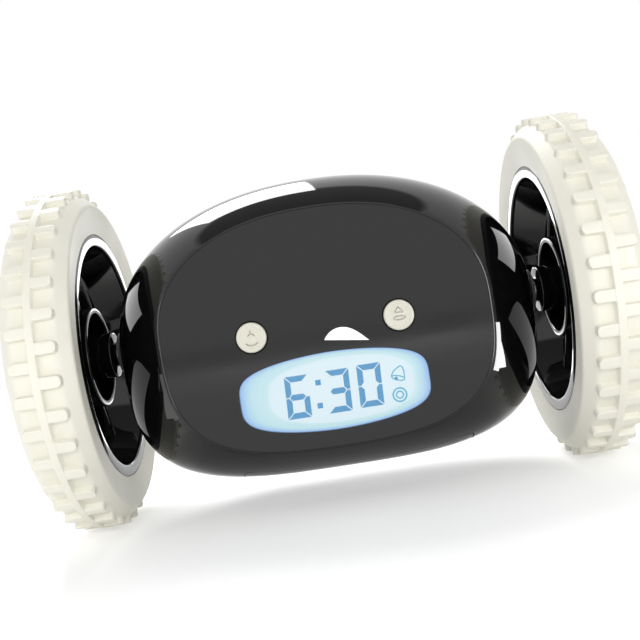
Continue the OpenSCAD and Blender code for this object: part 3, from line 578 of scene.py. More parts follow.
def build_glow():
    """The lit display: a whiter oval in the middle, and bluer along its rounded edge."""
    material, tree = new_material("Lit display")
    oval = ramp(tree, oval_reach(tree, GLOW_SHIFT, (2.1, 3.0)),
                [(0.0, (0.755, 0.875, 0.92)), (0.56, (0.73, 0.86, 0.915)),
                 (0.63, (0.56, 0.79, 0.82)), (1.0, (0.50, 0.755, 0.82))])
    rim = ramp(tree, oval_reach(tree, 0.0, (WINDOW_NX, WINDOW_NZ)),
               [(0.0, grey(0.0)), (0.78, grey(0.0)), (0.91, grey(0.45)), (1.0, grey(1.0))])
    mix = add(tree, "Mix", {0: rim, 6: oval, 7: (0.31, 0.52, 0.89, 1)}, data_type="RGBA")
    feed_shader(tree, {"Emission Color": mix.outputs[2], "Emission Strength": 0.93,
                       "Base Color": (0.05, 0.08, 0.1, 1), "Roughness": 0.35})
    return material


def build_ink(name, tone_a, tone_b):
    """The display's dark strokes: lit from behind, a little uneven."""
    material = finish(name, (0.02, 0.05, 0.09), (0.02, 0.04, 0.08), (0.4, 0.5))
    tree = material.node_tree
    feed_shader(tree, {"Emission Color": drifting(tree, tone_a, tone_b, 300.0),
                       "Emission Strength": 0.9})
    return material


FINISHES = build_finishes()
FINISHES["lcd_glass"] = build_glow()
INK = build_ink("Display strokes", (0.02, 0.25, 0.52), (0.03, 0.28, 0.54))
ICON_INK = build_ink("Display icon strokes", (0.06, 0.42, 0.60), (0.09, 0.46, 0.62))


def settle(piece, body, slot, nodes=(), material=None):
    """Brings a piece from mm about the axle into the frame and hands it to its body."""
    piece.data.transform(Matrix.Translation((0, 0, AXLE_Z)) @ Matrix.Scale(MM, 4))
    piece.data.materials.clear()
    piece.data.materials.append(material or FINISHES[slot])
    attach(piece, body)
    if nodes:
        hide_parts(*nodes)
    return piece


# ---- Casing ----

def rod(name, start, end, radius):
    """A plain round cutter between two points."""
    start, end = Vector(start), Vector(end)
    deselect()
    bpy.ops.mesh.primitive_cylinder_add(
        vertices=48, radius=radius, depth=(end - start).length, location=(start + end) / 2,
        rotation=(end - start).to_track_quat("Z", "Y").to_euler())
    return christen(name)


def prism(name, outline, z0, z1):
    return loft(name, [[(x, y, z0) for x, y in outline], [(x, y, z1) for x, y in outline]])


DOOR_LOW, DOOR_HIGH = limits("battery_door")
DOOR = dict(x0=DOOR_LOW.x, x1=DOOR_HIGH.x, y0=DOOR_LOW.y, y1=DOOR_HIGH.y, radius=3.0)
SNOOZE_Y = 12.0
SNOOZE = dict(x0=-13.0, x1=13.0, y0=SNOOZE_Y - 9.0, y1=SNOOZE_Y + 9.0, radius=4.0)
SCREW_X = limits("shell_screws")[1].x - 2.0
SCREW_Z = 15.0
SCREW_SEAT_Y = 9.6
BUSH_R = 4.1
DOOR_SCREW = (28.9, 6.0)
PUSH_R = 3.0
SNOOZE_PROUD = 0.6


def cut_common(shell):
    """Openings that both shells share: the battery bay and the bush at each end."""
    boolean(shell, prism("door_cut", rect_outline(**DOOR)(-GAP), -50, -22))
    for side in (-1, 1):
        boolean(shell, rod("bush_cut", (side * 42, 0, 0), (side * 60, 0, 0), BUSH_R))
    return shell


def crease(y, way, width):
    """Loops that turn from the form's side on to a flat face at y."""
    return [section(y - 0.6 * width, at=way * (y - 0.6 * width)),
            section(y, inset=0.12 * width, at=way * (y - 0.1 * width)),
            section(y, inset=0.5 * width, at=way * y),
            section(y, inset=0.9 * width, at=way * y)]


def rows(y0, y1, way, t=0.0, step=ROW_STEP):
    """Loops of the form between two depths, at even steps."""
    count = max(2, round(abs(y1 - y0) / step))
    depths = [y0 + (y1 - y0) * k / count for k in range(count + 1)]
    return [section(y, t, at=way * y) for y in depths]


PART_GROOVE = 0.12
CREASE = 0.9
REAR_CREASE = 1.2
PANEL_T = 1.6
LIP = 0.55


def face_edge(inset, seat, way):
    """Loops along the edge between shell and panel, from its seat to a chamfer at the front."""
    return [section(FACE_Y, inset=drawn, at=-depth) for drawn, depth in
            ((inset, seat), (inset, FACE_Y - 0.08), (inset + way * 0.06, FACE_Y))]


def build_front_shell():
    seat_y = FACE_Y - PANEL_T
    loops = rows(0.1, seat_y - 0.4, -1, WALL, 2.0)
    loops += face_edge(LIP, seat_y + 0.05, -1)
    loops += crease(FACE_Y, -1, CREASE)[2::-1]
    loops += rows(FACE_Y - 0.7 * CREASE - 0.2, PART_GROOVE + 0.03, -1)
    loops.append(section(0, inset=PART_GROOVE, at=-0.02))
    shell = cut_common(loft("front_shell_skin", loops, ring=True))
    smooth_on_form(shell, flats=((1, -FACE_Y), (2, -FLAT_BOTTOM)))
    settle(shell, "body", "shell_black", ["front_shell"])


def grille_holes():
    """Middle hole and two rings of holes, as on the frame."""
    yield 0.0, 0.0
    for radius, count in ((4.2, 6), (8.4, 12)):
        for a in turns(count):
            yield radius * math.cos(a), radius * math.sin(a)


SPEAKER_Z = 2.6
REAR_IN = REAR_Y - WALL


def flared(name, x, z, radius, count=48, lip=0.25):
    """A cutter for a hole in the rear, with a small countersink at its mouth."""
    profile = [(0, REAR_IN - 1.5), (0, REAR_Y - lip), (-lip, REAR_Y), (-lip, REAR_Y + 1)]
    return stood(name, circle_outline(x, z, radius, count), profile, facing_rear)


def build_rear_shell():
    loops = [section(REAR_IN, WALL, inset=0.4, at=REAR_IN)]
    loops += rows(REAR_IN - 0.3, 0.1, 1, WALL, 2.0)
    loops.append(section(0, inset=PART_GROOVE, at=0.02))
    loops += rows(PART_GROOVE + 0.03, REAR_Y - 0.7 * REAR_CREASE - 0.2, 1)
    loops += crease(REAR_Y, 1, REAR_CREASE)
    shell = cut_common(loft("rear_shell_skin", loops))
    boolean(shell, prism("snooze_cut", rect_outline(**SNOOZE)(-GAP), 22, 50))
    for node in ("hour_button", "minute_button", "delay_button"):
        middle = centre_of(node)
        boolean(shell, flared("button_cut", middle.x, middle.z, PUSH_R + GAP))
    low, high = limits("wheel_switch_knob")
    slot_cut = rect_outline(low.x - 2 - GAP, high.x + 2 + GAP, low.z - GAP, high.z + GAP, 0.5, 4, 2)
    boolean(shell, stood("slot_cut", slot_cut, [(0, REAR_IN - 1), (0, REAR_Y - 0.2),
                                                (-0.2, REAR_Y), (-0.2, REAR_Y + 1)], facing_rear))
    for x, z in grille_holes():
        boolean(shell, flared("grille_cut", x, SPEAKER_Z + z, 0.9, 24, 0.15))
    for x in (-SCREW_X, SCREW_X):
        for z in (-SCREW_Z, SCREW_Z):
            boolean(shell, rod("screw_cut", (x, SCREW_SEAT_Y, z), (x, 40, z), 2.2))
    smooth_on_form(shell, flats=((1, REAR_Y), (2, -FLAT_BOTTOM)))
    settle(shell, "body", "shell_black", ["rear_shell"])


# ---- Face ----

def window_outline(grow):
    """The window's rounded oblong, grown all round."""
    points = []
    for a in turns(128):
        c, s = math.cos(a), math.sin(a)
        points.append(((WINDOW_A + grow) * math.copysign(abs(c) ** (2 / WINDOW_NX), c),
                       WINDOW_Z + (WINDOW_B + grow) * math.copysign(abs(s) ** (2 / WINDOW_NZ), s)))
    return points


LENS_X, LENS_Z, LENS_TILT = 4.6, -5.0, math.radians(-8.5)
LENS_W, LENS_H = 10.6, 3.1
LENS_LEAN = 0.8


def lens_outline(inset, steps=36):
    """Half moon: a low leaning arch over a straight base, turned by its tilt."""
    points = []
    for i in range(steps + 1):
        a = math.pi * i / steps
        u = (LENS_W / 2 - inset) * math.cos(a) - LENS_LEAN * math.sin(a) ** 2
        v = inset + (LENS_H - 2 * inset) * math.sin(a) ** (2.2 if a < math.pi / 2 else 1.6)
        points.append((LENS_X + u * math.cos(LENS_TILT) - v * math.sin(LENS_TILT),
                       LENS_Z + u * math.sin(LENS_TILT) + v * math.cos(LENS_TILT)))
    return points


EYE_R = 3.6


def build_face_panel():
    back = FACE_Y - PANEL_T
    panel = loft("face_plate", face_edge(LIP + 0.05, back, 1))
    through = [(0, back - 1), (0, FACE_Y - 0.1), (-0.1, FACE_Y), (-0.1, FACE_Y + 1)]
    boolean(panel, stood("window_cut", lambda inset: window_outline(0.12 - inset), through,
                         facing_front))
    for node in ("left_eye_button", "right_eye_button"):
        middle = centre_of(node)
        boolean(panel, stood("eye_cut", circle_outline(middle.x, middle.z, EYE_R + GAP), through,
                             facing_front))
    boolean(panel, stood("lens_cut", lambda inset: lens_outline(inset - 0.05),
                         [(0, FACE_Y - 0.5), (0, FACE_Y + 1)], facing_front))
    smooth_on_form(panel, flats=((1, -FACE_Y),))
    settle(panel, "body", "face_grey", ["face_panel"])


def build_lens():
    lens = stood("half_moon", lens_outline, [(0.0, FACE_Y - 0.45), (0.0, FACE_Y - 0.02),
                                             (0.03, FACE_Y + 0.03), (0.1, FACE_Y + 0.05)],
                 facing_front)
    settle(smooth(lens), "body", "lens_white", ["indicator_lens"])


def build_window():
    front = -limits("lcd_window")[0].y
    back = -limits("lcd_window")[1].y
    window = stood("display_window", lambda inset: window_outline(-inset),
                   [(0.0, back), (0.0, front - 0.15), (0.05, front - 0.04), (0.15, front)],
                   facing_front)
    settle(smooth(window), "body", "window_clear", ["lcd_window"])


def build_display():
    low, high = limits("lcd_panel")
    panel = block("display_panel", low, high, 0.15)
    settle(smooth(panel), "body", "lcd_glass", ["lcd_panel"])


# Seven-segment digits: left edge, lower edge, width, height, stroke and slant, in mm
DIGIT_W, DIGIT_H, STROKE, SLANT = 5.7, 10.2, 1.4, 0.035
DIGITS = {"6": (-12.0, -21.8), "3": (-2.2, -21.75), "0": (5.45, -21.55)}
SEGMENTS = {"6": "acdefg", "3": "abcdg", "0": "abcdef"}
INK_BACK, INK_T = 0.02, 0.06


def segment_outline(key):
    """A segment's mitred corners in a digit's own box: the middle one, or a mirrored d or e."""
    w, h, s, trim = DIGIT_W, DIGIT_H, STROKE, 0.16
    if key == "g":
        y = h / 2 + s / 2
        return [(s * 0.55 + trim, y - s / 2), (s + trim, y - s), (w - s - trim, y - s),
                (w - s * 0.55 - trim, y - s / 2), (w - s - trim, y), (s + trim, y)]
    corners = [(0, trim), (0, h / 2 - trim), (s / 2, h / 2 - trim * 0.5),
               (s, h / 2 - s / 2 - trim), (s, s + trim)]
    if key in "ad":
        corners = [(trim, 0), (w - trim, 0), (w - s - trim, s), (s + trim, s)]
    return [(w - u if key in "bc" else u, h - v if key in "abf" else v) for u, v in corners]


def inked(name, outline):
    """A thin raised stroke on the display panel from an outline of (x, z) points."""
    return loft(name, [[(x, -y, z) for x, z in outline]
                       for y in (LCD_FRONT - INK_BACK, LCD_FRONT + INK_T)])


def build_digits():
    strokes = []
    for digit, (x0, z0) in DIGITS.items():
        for key in SEGMENTS[digit]:
            outline = [(x0 + u + SLANT * v, z0 + v) for u, v in segment_outline(key)]
            strokes.append(inked("stroke", outline))
    for x, z in ((-3.75, -14.0), (-4.05, -19.5)):
        strokes.append(inked("stroke", [(x - 0.65, z - 0.65), (x + 0.65, z - 0.65),
                                        (x + 0.7, z + 0.65), (x - 0.6, z + 0.65)]))
    piece = join(*strokes)
    piece.name = "display_digits"
    settle(piece, "body", "lcd_glass", material=INK)


def ring_stroke(x, z, radius, width):
    """A flat raised ring on the display panel."""
    back, front = LCD_FRONT - INK_BACK, LCD_FRONT + INK_T
    loops = [[(x + r * math.cos(a), -y, z + r * math.sin(a)) for a in turns(48)]
             for r, y in ((radius - width, back), (radius - width, front), (radius, front),
                          (radius, back))]
    return loft("ring", loops, ring=True)


def line_stroke(points, width):
    """Outline of a flat band along a few points."""
    half = width / 2
    left, right = [], []
    for i, (x, z) in enumerate(points):
        ahead = Vector(points[min(i + 1, len(points) - 1)]) - Vector(points[max(i - 1, 0)])
        across = Vector((-ahead.y, ahead.x)).normalized() * half
        left.append((x + across.x, z + across.y))
        right.append((x - across.x, z - across.y))
    return left + right[::-1]


def build_icons():
    """A small tilted bell and a ringed dot beside the digits, both generic."""
    bell = [(13.75, -15.1), (14.3, -14.15), (15.2, -13.45), (16.15, -13.0), (16.55, -13.25),
            (16.85, -14.3), (16.85, -15.6), (16.7, -16.4)]
    brim = [(13.75, -15.1), (14.7, -15.15), (15.7, -15.35), (16.8, -15.95)]
    skirt = [(13.7, -15.15), (14.0, -15.7), (14.9, -16.25), (16.0, -16.5), (16.75, -16.4)]
    parts = [inked("bell_line", line_stroke(points, 0.3)) for points in (bell, brim, skirt)]
    parts += [ring_stroke(15.1, -19.8, 1.8, 0.4), ring_stroke(15.1, -19.8, 1.0, 0.36)]
    piece = join(*parts)
    piece.name = "display_icons"
    settle(piece, "body", "lcd_glass", material=ICON_INK)
    clapper = inked("bell_clapper", circle_outline(14.8, -15.85, 0.42, 24)(0))
    settle(clapper, "body", "lcd_glass", material=INK)


def fine_line(points, low, high):
    """A cutter for a fine line in a button's front, between two depths."""
    outline = line_stroke(points, ENGRAVED_W)
    return loft("fine_line", [[(x, -y, z) for x, z in outline] for y in (low, high)])


def arc(radius, start, end):
    angles = [math.radians(start + (end - start) * k / 16) for k in range(17)]
    return [(radius * math.cos(a), radius * math.sin(a)) for a in angles]


EYE_ROUND, EYE_SINK = 0.45, 0.12
ENGRAVED_W, ENGRAVED_DEPTH = 0.34, 0.7


def build_eye(side, lines):
    """A cream eye button, a little hollow inside its rim, with a faint icon of fine lines."""
    low, high = limits(f"{side}_eye_button")
    x, z = (low.x + high.x) / 2, (low.z + high.z) / 2
    front = -low.y
    profile = [(0, FACE_Y - 2), (0, front - EYE_ROUND)]
    profile += [(EYE_ROUND * (1 - math.cos(a)), front - EYE_ROUND * (1 - math.sin(a)))
                for a in (math.radians(18 * k) for k in range(1, 6))]
    profile += [(0.75, front), (0.88, front - 0.03), (0.98, front - 0.1), (1.1, front - EYE_SINK),
                (2.2, front - EYE_SINK)]
    button = stood(f"{side}_eye", circle_outline(x, z, EYE_R, 96), profile, facing_front)
    smooth(button)
    for points in lines:
        path = [(x + u, z + v) for u, v in points]
        boolean(button, fine_line(path, front - ENGRAVED_DEPTH, front + 0.2))
    settle(smooth(button), f"{side}_eye", "button_cream", [f"{side}_eye_button"])


def build_eyes():
    dial = [arc(1.9, 222, 318), [(-0.75, 0.45), (0.0, 1.1), (0.85, 0.4)],
            [(-0.05, 1.75), (0.0, 0.9)]]
    bell = [[(-0.95, 0.7), (-0.5, 1.35), (0.0, 1.85), (0.5, 1.35), (0.95, 0.7)],
            [(-1.05, 0.62), (1.05, 0.62)]]
    for start in (-10, 170):
        bell.append([(1.4 * u, -0.7 + 0.45 * v) for u, v in arc(1, start, start + 200)])
    build_eye("left", dial)
    build_eye("right", bell)


# ---- Buttons on the top, rear and underside ----

def on_top(x, y, height):
    """A point over the body's top, at a height above its form."""
    return (x, y, section_height(x, y, True) + height)


def under(x, y, height):
    """A point under the body, at a height above its form."""
    return (x, y, -min(section_height(x, y, False), FLAT_BOTTOM) + height)


def patch(name, shape, profile, place, rings=14):
    """A skin that follows the body: the profile's edge loops, then loops drawn in to the middle."""
    outline = rect_outline(**shape)
    cx, cy = (shape["x0"] + shape["x1"]) / 2, (shape["y0"] + shape["y1"]) / 2
    loops = [[place(u, v, height) for u, v in outline(inset)] for inset, height in profile]
    inset, height = profile[-1]
    rim = outline(inset)
    for k in range(1, rings + 1):
        scale = 1 - k / (rings + 0.3)
        loops.append([place(cx + (u - cx) * scale, cy + (v - cy) * scale, height)
                      for u, v in rim])
    return loft(name, loops)


def build_snooze():
    profile = [(0.0, -2.6), (0.0, SNOOZE_PROUD - 0.5), (0.06, SNOOZE_PROUD - 0.24),
               (0.22, SNOOZE_PROUD - 0.07), (0.5, SNOOZE_PROUD)]
    button = patch("snooze_bar", SNOOZE, profile, on_top)
    settle(smooth(button, 50), "snooze", "shell_black", ["snooze_button"])


def build_door():
    profile = [(0.0, WALL), (0.0, 0.12), (0.04, 0.03), (0.14, 0.0)]
    door = patch("battery_hatch", DOOR, profile, under, 24)
    x, y = DOOR_SCREW
    low = under(x, y, 0)[2]
    boolean(door, rod("recess", (x, y, low - 3), (x, y, low + 1.1), 2.2))
    boolean(door, rod("hole", (x, y, low - 3), (x, y, low + 6), 1.3))
    for k in range(5):
        x = DOOR["x0"] + 4 + 1.6 * k
        boolean(door, block("groove", (x - 0.4, -5, -FLAT_BOTTOM - 3),
                            (x + 0.4, 7, -FLAT_BOTTOM + 0.35)))
    smooth_on_form(door, flats=((2, -FLAT_BOTTOM),))
    settle(door, "battery_cover", "shell_black", ["battery_door"])


def build_rear_buttons():
    for word in ("hour", "minute", "delay"):
        low, high = limits(f"{word}_button")
        x, z = (low.x + high.x) / 2, (low.z + high.z) / 2
        front = high.y
        profile = [(0, REAR_IN - 0.6), (0, front - 0.4), (0.12, front - 0.12), (0.4, front),
                   (0.9, front), (1.3, front - 0.12), (2.0, front - 0.2), (2.7, front - 0.22)]
        button = stood(f"{word}_push", circle_outline(x, z, PUSH_R), profile, facing_rear)
        settle(smooth(button, 50), f"{word}_key", "button_cream", [f"{word}_button"])


def build_knob():
    low, high = limits("wheel_switch_knob")
    base = block("switch_slider", (low.x, REAR_IN - 0.8, low.z), (high.x, high.y - 0.25, high.z),
                 0.25)
    ridges = []
    for k in range(3):
        x = low.x + 0.75 + 0.95 * k
        ridges.append(block("ridge", (x - 0.25, high.y - 0.6, low.z + 0.3),
                            (x + 0.25, high.y, high.z - 0.3), 0.15))
    settle(smooth(join(base, *ridges)), "wheel_switch", "button_cream", ["wheel_switch_knob"])


# ---- Wheels ----

PITCH = 360 / LUG_COUNT
LUG_HALF = math.degrees(LUG_W / 2 / TYRE_R)
# Rounded top edge and steep wall of a lug: degrees past its side, and the height kept there
LUG_EDGE = ((-0.20, 1.0), (-0.10, 0.975), (-0.02, 0.90), (0.06, 0.06), (0.14, 0.0))


def lug_mask(away):
    """1 on a lug, 0 in a pocket, at some degrees past the lug's side."""
    for (a, va), (b, vb) in zip(LUG_EDGE, LUG_EDGE[1:]):
        if away <= a:
            return va
        if away < b:
            return va + (vb - va) * (away - a) / (b - a)
    return 0.0


def narrowed(away, shrink):
    """Degrees from a lug's middle after its side is drawn in, with half a pitch kept."""
    inner, outer, half_pitch = LUG_HALF + LUG_EDGE[0][0], LUG_HALF + LUG_EDGE[-1][0], PITCH / 2
    if away < inner:
        return away * (inner - shrink) / inner
    if away <= outer:
        return away - shrink
    return half_pitch - (half_pitch - away) * (half_pitch - outer + shrink) / (half_pitch - outer)


def sector_columns():
    """Angles across one pitch, close together at the walls of both rows of lugs."""
    marks = {0.0, 0.9, PITCH / 2, PITCH / 2 - 0.9, PITCH / 2 + 0.9, PITCH - 0.9, PITCH}
    for edge, way in ((LUG_HALF, 1), (PITCH / 2 - LUG_HALF, -1), (PITCH / 2 + LUG_HALF, 1),
                      (PITCH - LUG_HALF, -1)):
        marks |= {round(edge + way * away, 4) for away, _ in LUG_EDGE}
    return sorted(marks)


def tread_rows():
    """Rows from the rim seat to the middle: width, radius in a pocket, radius on a lug, shrink."""
    rod_w = (TYRE_OUT - TYRE_IN) / 2
    reach = rod_w - SHOULDER_W
    floor_r = TYRE_R - TREAD_DEPTH
    lug_r = TYRE_R - RIB_PROUD
    base = rounded([(rod_w - 1.0, RIM_R + 0.05, 0), (rod_w - 0.95, RIM_R + 0.6, 0.3),
                    (rod_w + 0.05, TYRE_R - 4.7, 1.6), (reach - 0.35, floor_r, 2.2),
                    (0.0, floor_r, 0)], 8)
    crown_w, crown_r = zip(*[(w, r) for w, r in base[::-1] if r > TYRE_R - 4.4])
    most = math.degrees(LUG_ROUND / TYRE_R)
    path = [(w, r, r, 0.0) for w, r in base if w > reach + 0.25]

    def low(w):
        return float(np.interp(w, crown_w, crown_r))

    path += [(w, low(w), low(w), most * part) for w, part in ((reach + 0.22, 0.8),
                                                              (reach + 0.05, 1.0))]
    for turn, drop in ((90, 0.30), (78, 0.13), (66, 0.04), (52, 0.0), (38, 0.0), (24, 0.0),
                       (10, 0.0), (0, 0.0)):
        a = math.radians(turn)
        w = reach - LUG_ROUND * (1 - math.sin(a))
        path.append((w, low(w), lug_r - drop, most * (1 - math.cos(a))))
    path += [(w, low(w), lug_r, 0.0) for w in (3.6, 2.6, 1.7)]
    rib = RIB_W / 2
    for w, kept in ((rib + 0.2, 0.0), (rib + 0.1, 0.06), (rib + 0.03, 0.9), (rib - 0.06, 0.98),
                    (rib - 0.2, 1.0), (0.0, 1.0)):
        path.append((w, floor_r + (TYRE_R - floor_r) * kept, lug_r + RIB_PROUD * kept, 0.0))
    return path


def build_tyre(side, word):
    """One pitch of the tread is shaped from a grid, then repeated round the wheel and merged."""
    columns = sector_columns()
    half = tread_rows()
    path = [(*row, 0.0) for row in half] + [(-w, *more, PITCH / 2) for w, *more in half[-2::-1]]
    path.append(path[0])
    deselect()
    bpy.ops.mesh.primitive_grid_add(x_subdivisions=len(columns) - 1, y_subdivisions=len(path) - 1,
                                    size=1)
    tyre = christen(f"{word}_tread")
    middle = (TYRE_IN + TYRE_OUT) / 2
    for vert in tyre.data.vertices:
        degrees = columns[round((vert.co.x + 0.5) * (len(columns) - 1))]
        w, low, high, shrink, centre = path[round((vert.co.y + 0.5) * (len(path) - 1))]
        offset = (degrees - centre + PITCH / 2) % PITCH - PITCH / 2
        r = low + (high - low) * lug_mask(abs(offset) - LUG_HALF)
        if abs(abs(offset) - PITCH / 2) > 1e-6:
            degrees += math.copysign(narrowed(abs(offset), shrink), offset) - offset
        a = math.radians(degrees)
        vert.co = (side * (middle + w), r * math.cos(a), r * math.sin(a))
    bpy.ops.object.empty_add()
    turn = bpy.context.object
    turn.rotation_euler.x = math.radians(PITCH)
    modify(tyre, "ARRAY", count=LUG_COUNT, use_relative_offset=False, use_object_offset=True,
           offset_object=turn, use_merge_vertices=True, merge_threshold=0.002)
    bpy.data.objects.remove(turn)
    clean_up(tyre, 0.002)
    settle(smooth(tyre, 50), f"{word}_wheel", "tyre_cream", [f"{word}_tyre"])


BOSS_R, BORE_R = 6.0, 2.0
RING_IN, RING_OUT, RING_DEPTH = 11.8, 13.2, 7
SPOKES, SPOKE_HALF, SPOKE_DEPTH = 5, 1.1, 3
# How far ribs and spokes reach into the dish that carries them
ROOT = 0.4


def build_hub(side, word):
    """Deep dish with a flange ring, a stepped boss, a ring rib and five spokes."""
    dish_r = RIM_R - 3.0
    floor_r = dish_r - 2.2
    corners = [(HUB_IN, BORE_R, 0), (HUB_IN, 3.2, 0.15), (HUB_IN + 0.6, 3.5, 0.15),
               (HUB_IN + 0.6, BOSS_R, 0.4), (DISH_S, BOSS_R, 0.5),
               (DISH_S, floor_r, 1.2), (FLANGE_S + 1, dish_r, 0.3), (FLANGE_S, dish_r, 0.35),
               (FLANGE_S, RIM_R, 0.3), (FLANGE_S + 0.6, RIM_R, 0.1), (RIM_OUT, RIM_R, 0.4),
               (RIM_OUT, dish_r + 0.4, 0.4), (HUB_OUT, dish_r - 1, 0.6), (HUB_OUT, 14.0, 0.1),
               (HUB_OUT - 0.25, 13.7, 0.1), (HUB_OUT - 0.25, BORE_R, 0)]
    hub = turned(f"{word}_dish", rounded(corners, 4, closed=True), 160, ring=True, side=side)
    inner, outer = DISH_S - RING_DEPTH, DISH_S + ROOT
    ring = rounded([(outer, RING_IN, 0), (inner, RING_IN, 0.3), (inner, RING_OUT, 0.3),
                    (outer, RING_OUT, 0)], 3)
    ribs = [turned("ring_rib", ring, 128, ring=True, side=side)]
    ends = sorted((side * (DISH_S - SPOKE_DEPTH), side * (DISH_S + ROOT)))
    for i in range(SPOKES):
        spoke = block("spoke", (ends[0], BOSS_R - ROOT, -SPOKE_HALF),
                      (ends[1], floor_r + 1.0, SPOKE_HALF), 0.3)
        spoke.data.transform(Matrix.Rotation(math.radians(90 + 360 / SPOKES * i), 4, "X"))
        ribs.append(spoke)
    for rib in ribs:
        boolean(hub, rib, "UNION")
    settle(smooth(hub, 30), f"{word}_wheel", "hub_black", [f"{word}_hub"])


def build_hubcap(side, word):
    corners = [(HUB_OUT - 0.2, 0.05, 0), (HUB_OUT - 0.2, CAP_R, 0), (HUB_OUT + 0.5, CAP_R, 0.25),
               (HUB_OUT + 1.15, CAP_R - 2, 1.2), (CAP_OUT, CAP_R - 6.5, 3.0), (CAP_OUT, 0.05, 0)]
    cap = turned(f"{word}_cap", rounded(corners, 6), 96, side=side)
    groove = turned("groove", [(HUB_OUT + 0.75, CAP_R - 2.7), (CAP_OUT + 1, CAP_R - 2.7),
                               (CAP_OUT + 1, CAP_R - 3.0), (HUB_OUT + 0.75, CAP_R - 3.0)],
                    96, ring=True, side=side)
    boolean(cap, groove)
    settle(smooth(cap, 30), f"{word}_wheel", "hub_black", [f"{word}_hubcap"])


# ---- The rest of the frame, the studio and the camera ----

def dress_frame():
    """Every CAD node gets the finish of its slot."""
    for part in frame["record"]["subparts"]:
        mesh = frame["nodes"][part["node"]].data
        mesh.materials.clear()
        mesh.materials.append(FINISHES[part["material_slot"]])


def build_floor():
    deselect()
    bpy.ops.mesh.primitive_circle_add(vertices=128, radius=4.0, fill_type="NGON")
    floor = christen("studio_floor")
    paper = finish("Studio floor", grey(0.88), grey(0.86), (0.6, 0.7), Emission_Color=(1, 1, 1, 1))
    tree = paper.node_tree
    feed_shader(tree, {"Emission Strength": by_ray(tree, "Is Camera Ray", 0.18, 0.34)})
    floor.data.materials.append(paper)


def build_sky():
    """White surroundings with a darker ceiling, as the casing's gloss shows them."""
    world = bpy.data.worlds.new("Studio")
    bpy.context.scene.world = world
    world.use_nodes = True
    tree = world.node_tree
    sky = tree.nodes["Background"]
    parts = add(tree, "SeparateXYZ", {"Vector": add(tree, "TexCoord").outputs["Generated"]})
    ceiling = ramp(tree, parts.outputs["Z"], [(0.0, grey(1.0)), (0.83, grey(1.0)),
                                              (0.862, grey(0.26)), (1.0, grey(0.26))])
    feed(tree, sky, {"Color": ceiling, "Strength": by_ray(tree, "Is Diffuse Ray", 1.12, 0.78)})
    plain = add(tree, "Background", {"Strength": 1.0, "Color": (1, 1, 1, 1)})
    mix = add(tree, "MixShader", {"Fac": add(tree, "LightPath").outputs["Is Camera Ray"],
                                  1: sky.outputs["Background"], 2: plain.outputs["Background"]})
    feed(tree, tree.nodes["World Output"], {"Surface": mix.outputs["Shader"]})


def aim(obj, place, target):
    obj.location = place
    obj.rotation_euler = (Vector(target) - Vector(place)).to_track_quat("-Z", "Y").to_euler()


def card(name, place, target, size, radiance, roll=0.0, seen_by="both"):
    """An area light of a size in metres, aimed from its place at a target."""
    light = bpy.data.lights.new(name, "AREA")
    light.shape = "RECTANGLE"
    light.size, light.size_y = size
    light.energy = radiance * math.pi * size[0] * size[1]
    lamp = bpy.data.objects.new(name, light)
    bpy.context.scene.collection.objects.link(lamp)
    aim(lamp, place, target)
    lamp.rotation_euler = (lamp.rotation_euler.to_matrix()
                           @ Matrix.Rotation(math.radians(roll), 3, "Z")).to_euler()
    lamp.visible_glossy = seen_by != "matt"
    lamp.visible_diffuse = seen_by != "gloss"
    lamp.visible_camera = False


def softbox(name, azimuth, elevation, distance, *how, **more):
    """A card at a direction from the clock; azimuth 0 is behind it, 90 to its right."""
    a, e = math.radians(azimuth), math.radians(elevation)
    place = Vector((math.sin(a) * math.cos(e), math.cos(a) * math.cos(e), math.sin(e))) * distance
    middle = Vector((0, 0, AXLE_Z))
    card(name, place + middle, middle, *how, **more)


# Small cards at each end of the body, in mm from the axle's middle and mirrored for the left:
# place, size, radiance on the left and on the right, and roll in degrees
GLINTS = {
    "upper": ((57, -13, 15.5), (18, 9), (2.4, 2.4), 45),
    "lower": ((57, -12.5, -13.5), (26, 8.5), (0.6, 0.6), -47),
    "rim": ((55, -31.9, -16.5), (6.0, 18), (1.4, 19), 0),
    "rim_low": ((55, -29.8, -18.5), (5.2, 11), (1.4, 19), 20)}


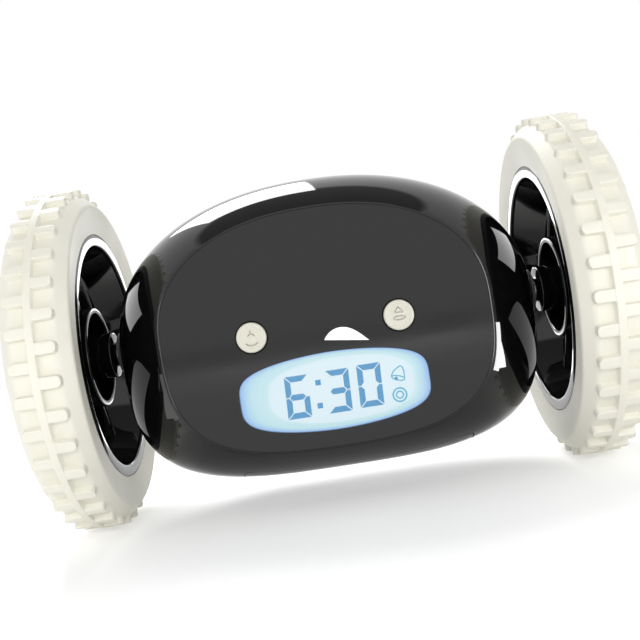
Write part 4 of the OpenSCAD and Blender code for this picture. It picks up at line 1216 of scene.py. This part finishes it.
def build_lights():
    """A softbox behind and above, a key in front, and small cards that only the gloss shows."""
    softbox("back_softbox", -18, 47, 1.5, (0.66, 0.78), 8.7, roll=-10)
    softbox("front_key", 176, 14, 1.2, (0.5, 0.4), 7.0, seen_by="matt")
    for side in (-1, 1):
        right = side > 0
        softbox("right_card" if right else "left_card", side * 138, 0, 0.17, (0.04, 0.084),
                7.0 if right else 2.4, seen_by="gloss")
        for label, ((x, y, z), size, radiance, roll) in GLINTS.items():
            place = Vector((side * x, y, z)) * MM + Vector((0, 0, AXLE_Z))
            card(f"{label}_glint", place, place - Vector((side, 0, 0)),
                 [length * MM for length in size], radiance[right], roll=side * roll,
                 seen_by="gloss")
        place = Vector((0, 0.29, AXLE_Z + side * 0.055))
        card("flange_card", place, place - Vector((0, 1, 0)), (0.078, 0.044), 4.5, seen_by="gloss")


# The photo's camera, in metres and radians, from a fit of its rims and tread rings
CAMERA_PLACE = (0.002686, -0.23699, 0.0445)
CAMERA_PITCH, CAMERA_YAW, CAMERA_ROLL = 0.003088, 0.017234, -0.154287


def build_camera():
    camera = bpy.data.objects.new("camera", bpy.data.cameras.new("camera"))
    bpy.context.scene.collection.objects.link(camera)
    turn = (Matrix.Rotation(CAMERA_YAW, 3, "Z") @ Matrix.Rotation(CAMERA_PITCH, 3, "X"))
    right, ahead, up = turn.col[0], turn.col[1], turn.col[2]
    c, s = math.cos(CAMERA_ROLL), math.sin(CAMERA_ROLL)
    across = c * right + s * up
    upright = c * up - s * right
    pose = Matrix((across, upright, -ahead)).transposed().to_4x4()
    pose.translation = CAMERA_PLACE
    camera.matrix_world = pose
    camera.data.lens = 50
    camera.data.sensor_width = 36
    camera.data.clip_start = 0.01
    bpy.context.scene.camera = camera


for build in (build_camera, dress_frame, build_front_shell, build_rear_shell, build_face_panel,
              build_lens, build_window, build_display, build_digits, build_icons, build_eyes,
              build_snooze, build_door, build_rear_buttons, build_knob):
    build()
for side, word in ((-1, "left"), (1, "right")):
    build_tyre(side, word)
    build_hub(side, word)
    build_hubcap(side, word)
build_floor()
build_sky()
build_lights()
bpy.context.scene.view_settings.view_transform = "Standard"
